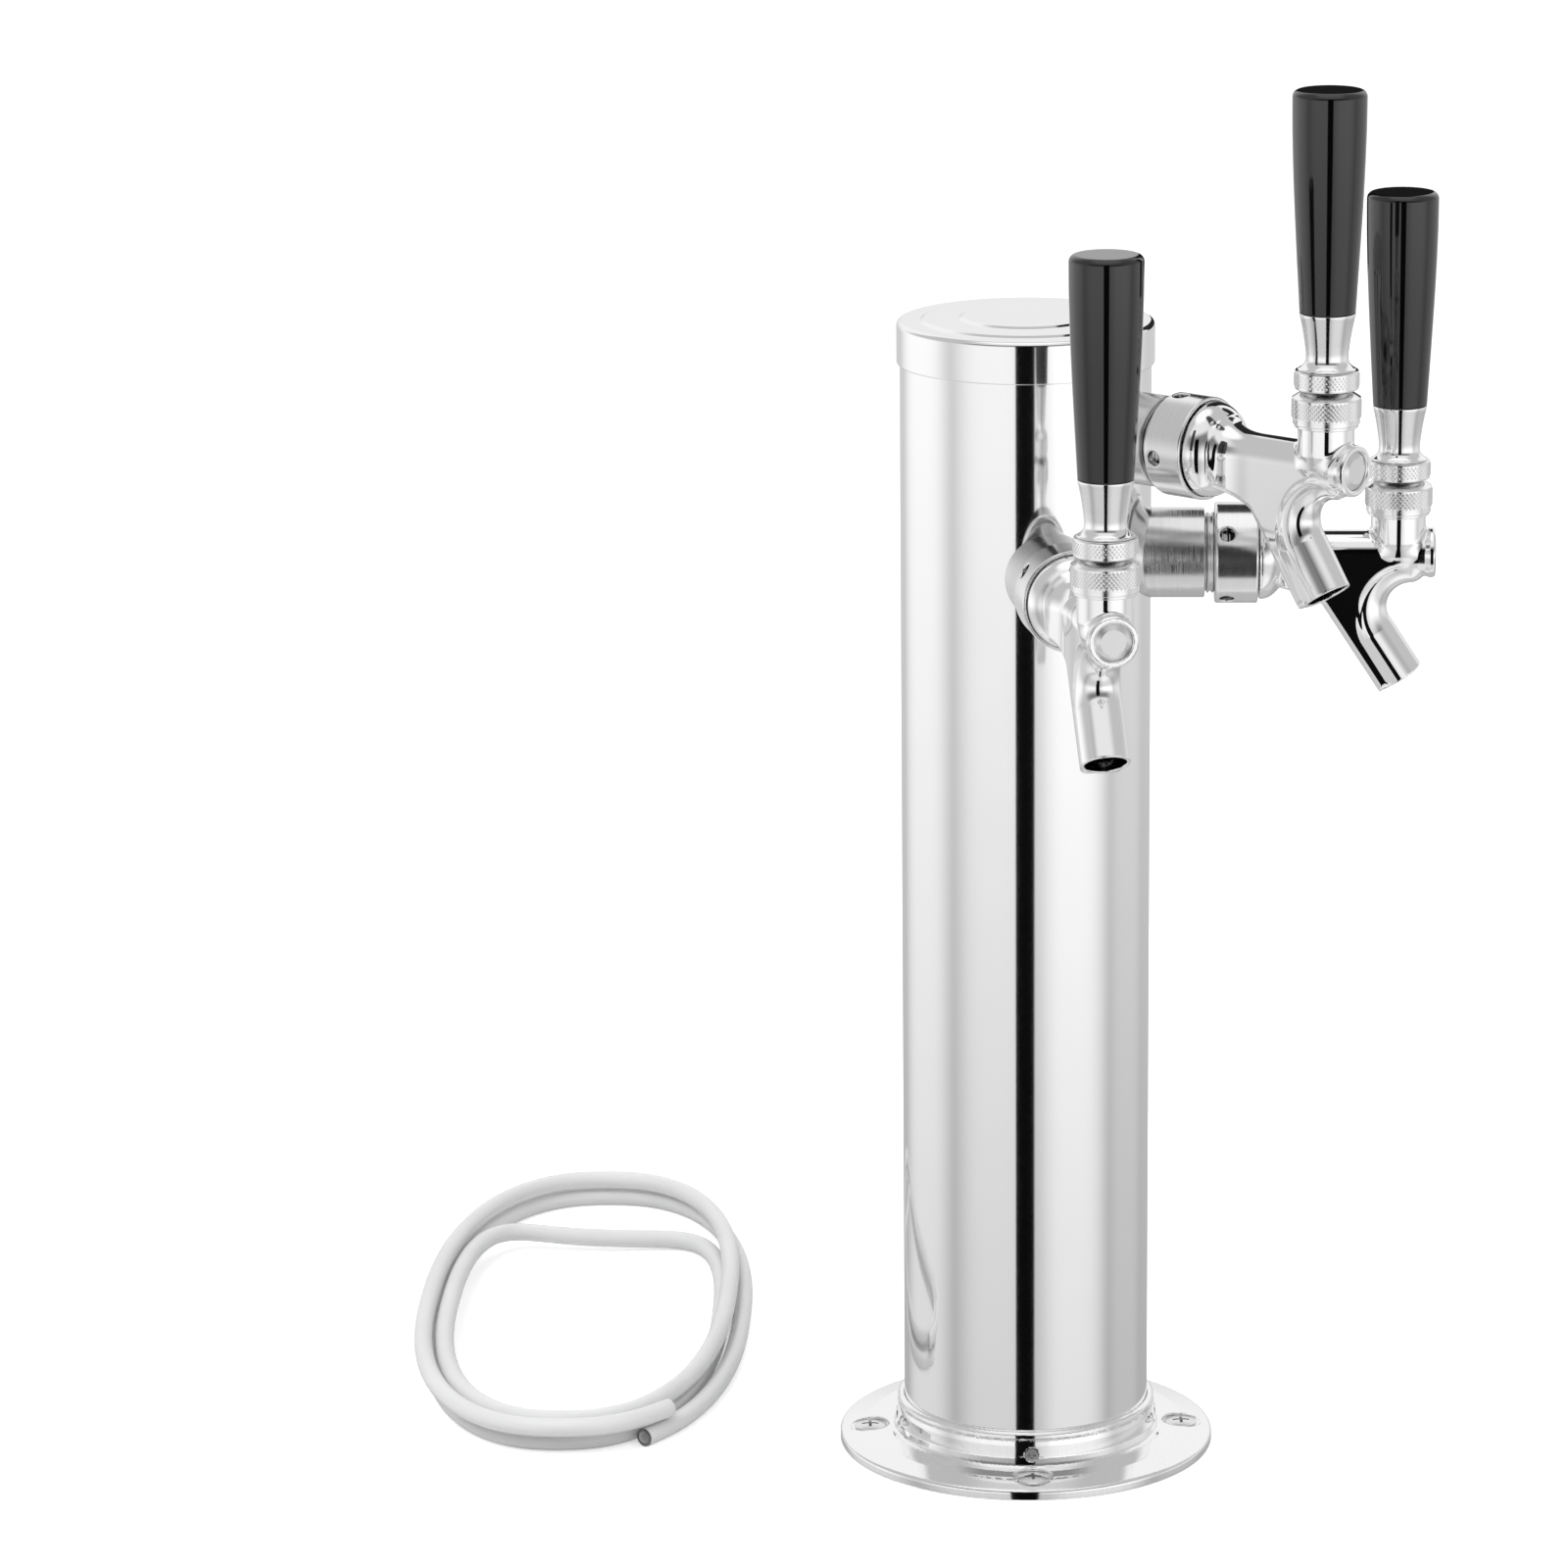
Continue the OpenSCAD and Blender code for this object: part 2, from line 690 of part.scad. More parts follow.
// Cast faucet: dome, barrel, boss, neck, hook, web and spout
module faucet_body()
{
    slot_floor = -tip_r - pass_gap;
    color("gainsboro")
        difference() {
            union() {
                rod_x(tail_flange_r, tail_flange_back, tail_flange_front);
                rod_x(tail_stem_r, tail_flange_front - over, dome_back + over);
                turned_x(concat([[dome_back, 0]],
                    [for (s = dome_shares) [dome_back + s[0] * dome_len, s[1] * dome_r]],
                    [[dome_front, barrel_r], [dome_front, 0]]));
                rod_x(barrel_r, dome_front - over, boss_front - boss_flare);
                turned_x([[boss_front - boss_flare - over, 0], [boss_front - boss_flare - over, barrel_r],
                    [boss_front - boss_flare, barrel_r], [boss_front - boss_band, boss_r],
                    [boss_front, boss_r], [boss_front, 0]]);
                translate([neck_reach, 0, 0])
                    turned_z([[0, -barrel_r], [neck_taper_r, -barrel_r], [neck_r, 0],
                        [neck_r, bonnet_seat], [spigot_r, bonnet_seat],
                        [spigot_r, bonnet_seat + spigot_h], [0, bonnet_seat + spigot_h]]);
                translate([hook_x, 0, -hook_drop])
                    rotate([90, 0, 0])
                        rotate([0, 0, 90])
                            rotate_extrude(angle = hook_end - 90)
                                translate([hook_r, 0])
                                    circle(r = spout_r);
                translate([hook_end_x, 0, hook_end_z])
                    rotate([0, 180 - spout_lean, 0])
                        cylinder(r = spout_r, h = spout_len);
                intersection() {
                    rotate([90, 0, 0])
                        translate([0, 0, -web_t / 2])
                            linear_extrude(height = web_t)
                                polygon(web_outline());
                    translate([dome_back, 0, 0])
                        rotate([90, 0, 90])
                            linear_extrude(height = hook_x - dome_back)
                                polygon([[-web_t / 2, 0], [-web_foot_t / 2, spout_end_z - spout_r],
                                    [web_foot_t / 2, spout_end_z - spout_r], [web_t / 2, 0]]);
                }
            }
            // Way for the beer behind the seat, and for the shaft before it
            rod_x(chamber_r, tail_flange_back - over, seat_x);
            rod_x(shaft_bore_r, seat_x - over, boss_front);
            rod_x(piston_r + run_gap, piston_back - 3 * slot_half, boss_front + over);
            translate([neck_reach, 0, ball_z])
                sphere(r = socket_r);
            translate([neck_reach, 0, barrel_r])
                cylinder(r = neck_bore_r, h = bonnet_top);
            translate([neck_reach - neck_slot_back, -neck_slot_w / 2, 0])
                cube([neck_slot_back + slot_half + pass_gap, neck_slot_w, ball_z - ball_r / 2]);
            translate([hook_x, 0, -hook_drop])
                rotate([90, 0, 0])
                    rotate([0, 0, 90])
                        rotate_extrude(angle = hook_end - 90)
                            translate([hook_r, 0])
                                circle(r = hook_bore_r);
            translate([hook_end_x, 0, hook_end_z])
                rotate([0, 180 - spout_lean, 0])
                    cylinder(r = spout_bore_r, h = spout_len + over);
        }
}

// Shaft: front piston, slotted block for the lever's tip, rod and rear head
module shaft()
{
    color("silver")
        difference() {
            union() {
                turned_x([[piston_back, 0], [piston_back, piston_r], [boss_front - button_bevel, piston_r],
                    [boss_front, button_face_r], [boss_front, 0]]);
                rod_x(block_r, block_back, piston_back + seat_gap);
                rod_x(rod_r, seat_washer_back - over, block_back + over);
                rod_x(shaft_head_r, seat_washer_back - shaft_head_len, seat_washer_back - seat_gap);
            }
            translate([block_back - over, -block_r - over, block_top])
                cube([block_front - block_back + 2 * over, 2 * block_r + 2 * over, block_r + over]);
            translate([neck_reach - slot_half, -slot_half, -slot_half])
                cube([2 * slot_half, 2 * slot_half, block_r + slot_half]);
        }
}

// Rubber washer that closes the seat
module seat_washer()
{
    color("dimgray")
        difference() {
            rod_x(seat_washer_r, seat_washer_back, seat_washer_front);
            rod_x(rod_r + seat_gap, seat_washer_back - over, seat_washer_front + over);
        }
}

// Places its children at the centre of the lever's ball
module at_ball()
{
    translate([neck_reach, 0, ball_z])
        children();
}

// Bonnet that holds the ball down, with a flared mouth for the lever
module bonnet()
{
    foot = bonnet_seat + seat_gap;
    bore = spigot_r + seat_gap;
    ceiling = bonnet_seat + spigot_h + ball_washer_h + 2 * seat_gap;
    socket_start = asin((ceiling - ball_z) / socket_r);
    socket_stop = asin(bonnet_lip_z / socket_r);
    color("gainsboro")
        translate([neck_reach, 0, 0])
            turned_z(concat(
                [[bore, foot], [bonnet_foot_r, foot], [bonnet_foot_r, foot + bonnet_foot_h],
                    [bonnet_band_r, foot + bonnet_foot_h], [bonnet_band_r, foot + bonnet_band_h],
                    [bonnet_r, foot + bonnet_band_h], [bonnet_r, bonnet_top - bonnet_slope_h],
                    [bonnet_rim_r, bonnet_top], [bonnet_mouth_r, bonnet_top],
                    [bonnet_lip_r, ball_z + bonnet_lip_z]],
                arc([0, ball_z], socket_r, socket_stop, socket_start, 4),
                [[bore, ceiling]]));
}

// Friction washer round the ball's upper half
module ball_washer()
{
    foot = bonnet_seat + spigot_h + seat_gap;
    head = foot + ball_washer_h;
    color("dimgray")
        translate([neck_reach, 0, 0])
            difference() {
                translate([0, 0, foot])
                    cylinder(r = ball_washer_r, h = ball_washer_h);
                translate([0, 0, ball_z])
                    sphere(r = socket_r);
            }
}

// Lever: ball, tip, stem and threaded end
module lever()
{
    color("silver")
        at_ball() {
            sphere(r = ball_r);
            translate([0, 0, -lever_arm])
                sphere(r = tip_r);
            translate([0, 0, -lever_arm])
                cylinder(r = tip_r, h = lever_arm);
            cylinder(r = stem_r, h = collar_foot + collar_dish_h - ball_z + over);
            translate([0, 0, collar_foot + collar_dish_h - ball_z])
                cylinder(r = lever_thread_r, h = lever_thread_len);
        }
}

// Knurled collar on the lever, hollow below so that it clears the bonnet
module lever_collar()
{
    bore = lever_thread_r + seat_gap;
    color("gainsboro")
        translate([neck_reach, 0, 0])
            turned_z([[bore, collar_foot + collar_dish_h], [collar_dish_r, collar_foot + collar_dish_h],
                [collar_dish_r, collar_foot], [lever_collar_r - collar_edge, collar_foot],
                [lever_collar_r, collar_foot + collar_edge], [lever_collar_r, collar_head - collar_edge],
                [lever_collar_r - collar_edge, collar_head], [bore, collar_head]]);
}

// Waisted ferrule between the collar and the handle
module ferrule()
{
    bore = lever_thread_r + seat_gap;
    foot = collar_head + seat_gap;
    waist = foot + ferrule_h * ferrule_waist_share;
    socket = ferrule_top - ferrule_socket_h;
    color("gainsboro")
        translate([neck_reach, 0, 0])
            turned_z(concat(
                [[bore, foot], [ferrule_foot_r, foot]],
                bent([ferrule_foot_r, foot + ferrule_h * ferrule_lip_share],
                    [ferrule_waist_r, foot + ferrule_h * ferrule_pull_share], [ferrule_waist_r, waist]),
                bent([ferrule_waist_r, waist + ferrule_h * ferrule_belly_share],
                    [ferrule_waist_r + ferrule_h * ferrule_flare_share,
                        collar_head + ferrule_h * ferrule_neck_share],
                    [ferrule_top_r, ferrule_top]),
                [[ferrule_socket_r, ferrule_top], [ferrule_socket_r, socket], [bore, socket]]));
}

// Black handle with a moulded-in threaded insert
module handle()
{
    foot = ferrule_top + seat_gap;
    top = ferrule_top + handle_h;
    insert_foot = ferrule_top - ferrule_socket_h + seat_gap;
    bore = lever_thread_r + seat_gap;
    thread_top = collar_foot + collar_dish_h + lever_thread_len + over;
    rise = handle_top_r - handle_foot_r;
    color("black")
        translate([neck_reach, 0, 0])
            turned_z(concat(
                [[bore, insert_foot], [insert_r, insert_foot], [insert_r, foot], [handle_foot_r, foot]],
                [for (s = handle_shares) [handle_foot_r + s[1] * rise, foot + s[0] * handle_h]],
                arc([handle_top_r - handle_round, top - handle_round], handle_round, 0, 90, 6),
                [[0, top], [0, thread_top], [bore, thread_top]]));
}

// Share of the way in from the outer loop, 0 at the ends and 1 at the reversal
function coil_in(q) = 1 - abs(2 * q - 1);

// Height of the line's middle: lower layer, climb over half a turn, upper layer
function coil_climb(q) =
    let (t = min(1, max(0, (q - 0.5) * 2 * line_loops + 0.5)))
    line_r + layer_rise * (3 * t * t - 2 * t * t * t);

// Far side of the innermost loop, which lies apart from the others there
fan_middle = 90 + 360 * round((coil_start + 180 * line_loops - 90) / 360);

// Middle of the line at share q of the coil, flattened circles that step inward
function coil_point(q) =
    let (a = coil_start + 360 * line_loops * q,
        inset = coil_pitch * line_loops / 2 * coil_in(q),
        far = abs(a - fan_middle) < 90 ? coil_fan * pow(sin(a), 2) : 0,
        e = 2 / coil_square,
        cx = sign(cos(a)) * pow(abs(cos(a)), e),
        cy = sign(sin(a)) * pow(abs(sin(a)), e))
    [(coil_half_w - inset) * cx, (coil_half_l - inset - far) * cy, coil_climb(q)];

coil_count = line_loops * coil_rings;
coil_middle = [for (i = [0 : coil_count]) coil_point(i / coil_count)];

// Straight ends, one diameter long, along the coil's own direction there
function unit(v) = v / norm(v);
line_path = concat(
    [coil_middle[0] + line_end_len * unit(coil_middle[0] - coil_middle[1])],
    coil_middle,
    [coil_middle[coil_count] + line_end_len * unit(coil_middle[coil_count] - coil_middle[coil_count - 1])]);

// Least gap between parts of the line that are at least half a loop apart
line_gap = min([for (i = [0 : coil_count]) for (j = [i + coil_rings / 2 : 1 : coil_count])
    norm(coil_middle[i] - coil_middle[j])]) - 2 * line_r;
line_length = [for (i = [1 : len(line_path) - 1]) norm(line_path[i] - line_path[i - 1])]
    * [for (i = [1 : len(line_path) - 1]) 1];
echo(line_gap = line_gap, line_length = line_length);

// Beer line: one unbroken tube along the path
module beer_line()
{
    last = len(line_path) - 1;
    rings = [for (i = [0 : last])
        let (t = unit(line_path[min(last, i + 1)] - line_path[max(0, i - 1)]),
            side = unit(cross(t, [0, 0, 1])),
            up = cross(side, t))
        for (k = [0 : line_sides - 1])
            line_path[i] + line_r * (cos(360 / line_sides * (k + 0.5)) * side
                + sin(360 / line_sides * (k + 0.5)) * up)];
    walls = [for (i = [0 : last - 1]) for (k = [0 : line_sides - 1])
        let (a = i * line_sides + k, b = i * line_sides + (k + 1) % line_sides)
        each [[a, a + line_sides, b], [b, a + line_sides, b + line_sides]]];
    ends = [for (k = [1 : line_sides - 2])
        each [[0, k, k + 1], [last * line_sides, last * line_sides + k + 1, last * line_sides + k]]];
    color("whitesmoke")
        translate([coil_x, coil_y, 0])
            rotate([0, 0, coil_turn])
                polyhedron(points = rings, faces = concat(walls, ends), convexity = 6);
}

column();
top_cap();
base_flange();
flange_screws();
collar_screws();
beer_line();

// The same pieces on each tap
for (i = [0 : len(sides) - 1]) {
    side = sides[i];
    at_tap(i) spacer();
    at_tap(i) shank();
    at_tap(i) clamp_washer();
    at_tap(i) lock_nut();
    at_tap(i) tail_nut();
    at_tap(i) tail_elbow();
    at_tap(i) coupling_nut(nut_turns[i]);
    at_tap(i) coupling_washer();
    at_tap(i) faucet_body();
    at_tap(i) shaft();
    at_tap(i) seat_washer();
    at_tap(i) bonnet();
    at_tap(i) ball_washer();
    at_tap(i) lever();
    at_tap(i) lever_collar();
    at_tap(i) ferrule();
    at_tap(i) handle();
}
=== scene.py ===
"""Looks of a three-tap beer tower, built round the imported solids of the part.

The tower stands on its flange at the origin, with +Z up and the middle tap
along -Y. Builders work in millimetres and in their piece's own frame: a tap's
frame has X outward along the tap, Z up and its origin on the column's axis.
"""

import json
import logging
import math
from dataclasses import dataclass, field
from enum import Enum
from typing import Any, Callable, Iterable, Sequence

import bmesh
import bpy
import numpy as np
from mathutils import Matrix, Vector

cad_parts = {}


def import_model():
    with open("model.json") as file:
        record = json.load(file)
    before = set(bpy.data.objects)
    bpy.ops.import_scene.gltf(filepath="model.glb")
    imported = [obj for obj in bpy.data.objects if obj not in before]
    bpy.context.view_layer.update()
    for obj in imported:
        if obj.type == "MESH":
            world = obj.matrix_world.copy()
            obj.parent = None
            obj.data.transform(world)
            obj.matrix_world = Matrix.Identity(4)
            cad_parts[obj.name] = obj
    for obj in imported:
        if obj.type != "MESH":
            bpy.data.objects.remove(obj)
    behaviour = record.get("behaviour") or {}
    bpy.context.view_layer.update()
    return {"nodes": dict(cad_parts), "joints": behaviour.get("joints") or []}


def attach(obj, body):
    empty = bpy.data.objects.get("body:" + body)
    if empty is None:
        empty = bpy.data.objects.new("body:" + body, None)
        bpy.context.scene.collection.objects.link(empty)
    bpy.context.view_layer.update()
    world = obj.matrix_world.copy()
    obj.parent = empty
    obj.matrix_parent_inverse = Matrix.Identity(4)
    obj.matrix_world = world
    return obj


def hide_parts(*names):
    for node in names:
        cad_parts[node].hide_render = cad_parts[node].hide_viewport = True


LOG = logging.getLogger("beer_tower")
MM = 0.001
GRAIN = "grain"
TOWER = "tower"
UNIT = np.eye(3, dtype=int)

Corner = tuple[float, float, float]
Distance = Callable[[np.ndarray], np.ndarray]


class Side(Enum):
    """The three taps, named as someone who faces the tower sees them."""

    LEFT = "left"
    CENTRE = "centre"
    RIGHT = "right"


class Axis(Enum):
    """The axis that a turned piece is turned about."""

    X = "x"
    Z = "z"


def placed(points: np.ndarray, place: Matrix) -> np.ndarray:
    """Points moved by a matrix."""
    m = np.array(place, float)
    return points @ m[:3, :3].T + m[:3, 3]


@dataclass
class Shape:
    """A closed mesh in numbers, before it becomes a Blender mesh.

    Args:
        points: One row of x, y, z for each vertex.
        faces: Vertex numbers of each face.
        normals: The true surface normal at each vertex.
        grain: Along, around and out from the piece's own axis, at each vertex.
    """

    points: np.ndarray
    faces: list[Sequence[int]]
    normals: np.ndarray
    grain: np.ndarray

    def moved(self, place: Matrix) -> "Shape":
        """Moves the shape.

        Args:
            place: A matrix that turns, moves and scales evenly.

        Returns:
            The moved shape.
        """
        turn = np.array(place, float)[:3, :3]
        turn /= abs(np.linalg.det(turn)) ** (1 / 3)
        return Shape(placed(self.points, place), self.faces, self.normals @ turn.T, self.grain)

    def mesh(self, name: str) -> bpy.types.Mesh:
        """Makes the Blender mesh, smooth and with the shape's own normals.

        Args:
            name: The mesh's name.

        Returns:
            The new mesh, in the shape's own units.
        """
        made = bpy.data.meshes.new(name)
        made.from_pydata(self.points.tolist(), [], [list(map(int, f)) for f in self.faces])
        made.polygons.foreach_set("use_smooth", [True] * len(made.polygons))
        made.update()
        made.normals_split_custom_set_from_vertices(self.normals.tolist())
        grain = made.attributes.new(GRAIN, "FLOAT_VECTOR", "POINT")
        grain.data.foreach_set("vector", self.grain.astype(np.float32).ravel())
        return made


class Outline:
    """The outline of a turned piece, as rounded corners of along, radius and fillet.

    The outline runs with the piece's body on its right hand, so that its left
    hand points out of the piece.
    """

    def __init__(self, corners: Sequence[Corner], closed: bool = False, steps: int = 5) -> None:
        """Rounds the corners.

        Args:
            corners: Along, radius and fillet radius of each corner.
            closed: True for a ring, whose last corner meets its first.
            steps: Steps of each fillet.
        """
        self.closed = closed
        self.points: list[tuple[float, float]] = []
        self.normals: list[tuple[float, float]] = []
        count = len(corners)
        for i, (along, radius, fillet) in enumerate(corners):
            here = np.array([along, radius], float)
            if not closed and i in (0, count - 1):
                beside = np.array(corners[1 if i == 0 else count - 2][:2], float)
                way = (beside - here) if i == 0 else (here - beside)
                self._add(here, way / np.linalg.norm(way))
                continue
            before = here - np.array(corners[i - 1][:2], float)
            after = np.array(corners[(i + 1) % count][:2], float) - here
            self._round(here, before, after, fillet, steps)

    def _add(self, point: np.ndarray, way: np.ndarray) -> None:
        """Adds a point with the normal left of the way that the outline runs."""
        self.points.append((float(point[0]), float(point[1])))
        self.normals.append((-float(way[1]), float(way[0])))

    def _round(self, here: np.ndarray, before: np.ndarray, after: np.ndarray, fillet: float,
               steps: int) -> None:
        """Adds one corner as an arc.

        Args:
            here: The corner.
            before: The way from the corner before it.
            after: The way to the next corner.
            fillet: The arc's radius.
            steps: The arc's steps.
        """
        reach = (np.linalg.norm(before), np.linalg.norm(after))
        a, b = before / reach[0], after / reach[1]
        turn = math.atan2(a[0] * b[1] - a[1] * b[0], float(a @ b))
        if abs(turn) < 0.02 or fillet <= 0:
            self._add(here, (a + b) / np.linalg.norm(a + b))
            return
        tangent = min(fillet * math.tan(abs(turn) / 2), 0.48 * min(reach))
        radius = tangent / math.tan(abs(turn) / 2)
        start = here - a * tangent
        centre = start + np.array([-a[1], a[0]]) * math.copysign(radius, turn)
        for k in range(steps + 1):
            angle = turn * k / steps
            way = np.array([a[0] * math.cos(angle) - a[1] * math.sin(angle),
                            a[0] * math.sin(angle) + a[1] * math.cos(angle)])
            self._add(centre - np.array([-way[1], way[0]]) * math.copysign(radius, turn), way)

    def turned(self, segments: int, axis: Axis = Axis.X) -> Shape:
        """Turns the outline about an axis.

        Args:
            segments: Steps round the axis.
            axis: The axis to turn about.

        Returns:
            The turned shape. An end on the axis becomes a pole.
        """
        angle = 2 * math.pi * np.arange(segments) / segments
        cos, sin = np.cos(angle), np.sin(angle)
        points, normals, grain, rows = [], [], [], []
        for (along, radius), (na, nr) in zip(self.points, self.normals):
            if radius < 1e-9:
                rows.append([len(points)] * segments)
                points.append((along, 0.0, 0.0))
                normals.append((math.copysign(1.0, na), 0.0, 0.0))
                grain.append((along, 0.0, 0.0))
                continue
            rows.append(list(range(len(points), len(points) + segments)))
            points.extend(zip([along] * segments, radius * cos, radius * sin))
            normals.extend(zip([na] * segments, nr * cos, nr * sin))
            grain.extend(zip([along] * segments, radius * angle, [radius] * segments))
        faces = []
        for i in range(len(rows) if self.closed else len(rows) - 1):
            low, high = rows[i], rows[(i + 1) % len(rows)]
            for j in range(segments):
                k = (j + 1) % segments
                loop = list(dict.fromkeys((low[j], low[k], high[k], high[j])))
                if len(loop) > 2:
                    faces.append(tuple(loop))
        order = [0, 1, 2] if axis is Axis.X else [1, 2, 0]
        return Shape(np.array(points, float)[:, order], faces, np.array(normals, float)[:, order],
                     np.array(grain, float))


def curve(start: Sequence[float], pull: Sequence[float], stop: Sequence[float],
          steps: int) -> list[Corner]:
    """Points of a curve that leaves start and reaches stop, drawn towards pull.

    Args:
        start: First point.
        pull: The point that the curve is drawn towards.
        stop: Last point.
        steps: Steps of the curve.

    Returns:
        Corners without fillets.
    """
    found = []
    for i in range(steps + 1):
        t = i / steps
        a, b, c = (1 - t) ** 2, 2 * t * (1 - t), t * t
        found.append((a * start[0] + b * pull[0] + c * stop[0],
                      a * start[1] + b * pull[1] + c * stop[1], 0.0))
    return found


def grain_about_x(points: np.ndarray) -> np.ndarray:
    """Along, around and out from the X axis, for each point."""
    out = np.hypot(points[:, 1], points[:, 2])
    return np.stack([points[:, 0], np.arctan2(points[:, 2], points[:, 1]) * out, out], 1)


def ring_faces(rings: int, sides: int, flip: bool = False) -> list[tuple[int, ...]]:
    """Quads between the rings of a closed wall, whose last ring meets its first.

    Args:
        rings: How many rings there are.
        sides: Points on each ring.
        flip: True to turn the quads round.

    Returns:
        The vertex numbers of each quad.
    """
    found = []
    for i in range(rings):
        for j in range(sides):
            a, b, k = i * sides, (i + 1) % rings * sides, (j + 1) % sides
            quad = (a + j, b + j, b + k, a + k)
            found.append(quad[::-1] if flip else quad)
    return found


def least(a: np.ndarray, b: np.ndarray, fillet: float) -> np.ndarray:
    """The lesser of two distances, with a round fillet where they are near each other.

    Args:
        a: First distance of each point.
        b: Second distance of each point.
        fillet: The fillet's radius.

    Returns:
        The joined distance.
    """
    if fillet <= 0:
        return np.minimum(a, b)
    near = np.hypot(np.maximum(fillet - a, 0), np.maximum(fillet - b, 0))
    return np.maximum(fillet, np.minimum(a, b)) - near


def outline_distance(p: np.ndarray, q: np.ndarray, corners: Sequence[Sequence[float]]) -> np.ndarray:
    """Signed distance in the plane to a closed outline, negative inside.

    Args:
        p: First coordinate of each point.
        q: Second coordinate of each point.
        corners: The outline's corners.

    Returns:
        The distance of each point.
    """
    nearest = np.full(p.shape, np.inf)
    sign = np.ones(p.shape)
    for i, (ax, ay) in enumerate(corners):
        bx, by = corners[i - 1]
        ex, ey = bx - ax, by - ay
        wx, wy = p - ax, q - ay
        t = np.clip((wx * ex + wy * ey) / (ex * ex + ey * ey), 0, 1)
        nearest = np.minimum(nearest, (wx - ex * t) ** 2 + (wy - ey * t) ** 2)
        above, below, left = q >= ay, q < by, ex * wy > ey * wx
        sign = np.where((above & below & left) | ~(above | below | left), -sign, sign)
    return sign * np.sqrt(nearest)


class Form:
    """A cast or drilled solid, as its signed distance in millimetres."""

    def __init__(self, distance: Distance) -> None:
        """Keeps the distance, which takes rows of x, y, z and is negative inside."""
        self.distance = distance

    def join(self, other: "Form", fillet: float = 0.0) -> "Form":
        """Returns both solids as one, with a round fillet between them."""
        return Form(lambda p: least(self.distance(p), other.distance(p), fillet))

    def cut(self, other: "Form", edge: float = 0.0) -> "Form":
        """Returns this solid less another one, with a rounded edge round the cut."""
        return Form(lambda p: -least(-self.distance(p), other.distance(p), edge))

    @staticmethod
    def rod(start: Sequence[float], stop: Sequence[float], radius: float, edge: float = 0.0) -> "Form":
        """A round rod.

        Args:
            start: The centre of one end.
            stop: The centre of the other end.
            radius: The rod's radius.
            edge: The radius of its rounded ends.

        Returns:
            The rod.
        """
        a, b = np.array(start, float), np.array(stop, float)
        half = np.linalg.norm(b - a) / 2
        way = (b - a) / (2 * half)

        def distance(p: np.ndarray) -> np.ndarray:
            """The distance of each point.

            Args:
                p: The points.

            Returns:
                Their distances.
            """
            w = p - (a + b) / 2
            along = w @ way
            out = np.sqrt(np.maximum((w * w).sum(1) - along * along, 0))
            return -least(radius - out, half - np.abs(along), edge)

        return Form(distance)

    @staticmethod
    def ball(centre: Sequence[float], radius: float) -> "Form":
        """A ball."""
        return Form(lambda p: np.linalg.norm(p - np.array(centre), axis=1) - radius)

    @staticmethod
    def turned(corners: Sequence[Sequence[float]], axis: Axis, at: float = 0.0) -> "Form":
        """A turned solid.

        Args:
            corners: Along and radius of each corner, closed below the axis.
            axis: The axis that the solid is turned about.
            at: Where an upright axis stands along X.

        Returns:
            The solid.
        """
        if axis is Axis.X:
            return Form(lambda p: outline_distance(p[:, 0], np.hypot(p[:, 1], p[:, 2]), corners))
        return Form(lambda p: outline_distance(p[:, 2], np.hypot(p[:, 0] - at, p[:, 1]), corners))

    @staticmethod
    def hook(centre: Sequence[float], reach: float, radii: tuple[float, float],
             stop: float) -> "Form":
        """A round tube bent in the plane of X and Z, from its top backwards.

        Args:
            centre: Centre of the bend, in X and Z.
            reach: Radius of the bend, to the tube's middle.
            radii: The tube's own radius at its top and at its lower end.
            stop: Angle of the bend's lower end, in degrees from X.

        Returns:
            The tube, with round ends.
        """
        middle = math.radians((90 + stop) / 2)
        half = math.radians((stop - 90) / 2)

        def distance(p: np.ndarray) -> np.ndarray:
            """The distance of each point.

            Args:
                p: The points.

            Returns:
                Their distances.
            """
            x, z = p[:, 0] - centre[0], p[:, 2] - centre[1]
            angle = np.arctan2(z, x) - middle
            angle = np.clip((angle + math.pi) % (2 * math.pi) - math.pi, -half, half) + middle
            dx, dz = x - reach * np.cos(angle), z - reach * np.sin(angle)
            share = (angle - middle) / (2 * half) + 0.5
            return np.sqrt(dx * dx + dz * dz + p[:, 1] ** 2) - radii[0] - (radii[1] - radii[0]) * share

        return Form(distance)

    @staticmethod
    def web(corners: Sequence[Sequence[float]], half: float, taper: float, bend: float,
            edge: float, flare: tuple[float, float, float]) -> "Form":
        """An upright bar in the plane of X and Z: round on top, with flat sides that taper downwards.

        Args:
            corners: The bar's outline in X and Z.
            half: Its half thickness, which is the radius of its round top.
            taper: How much thinner each half gets for each unit of depth.
            bend: Depth over which the round top turns into the taper.
            edge: Radius of its rounded edges.
            flare: Where it starts to get thicker backwards, over what length, and by how much.

        Returns:
            The bar.
        """
        lean = math.hypot(1, taper)
        start, reach, more = flare

        def distance(p: np.ndarray) -> np.ndarray:
            """The distance of each point.

            Args:
                p: The points.

            Returns:
                Their distances.
            """
            flat = outline_distance(p[:, 0], p[:, 2], corners)
            deep, aside = np.maximum(-p[:, 2], 0), np.abs(p[:, 1])
            drop = taper * np.where(deep < bend, deep * deep / (2 * bend), deep - bend / 2)
            thick = half + more * np.clip((start - p[:, 0]) / reach, 0, 1) ** 3
            side = (aside - thick + drop) / lean
            face = np.where(p[:, 2] > 0, np.hypot(aside, p[:, 2]) - thick, side)
            return -least(-flat, -face, edge)

        return Form(distance)

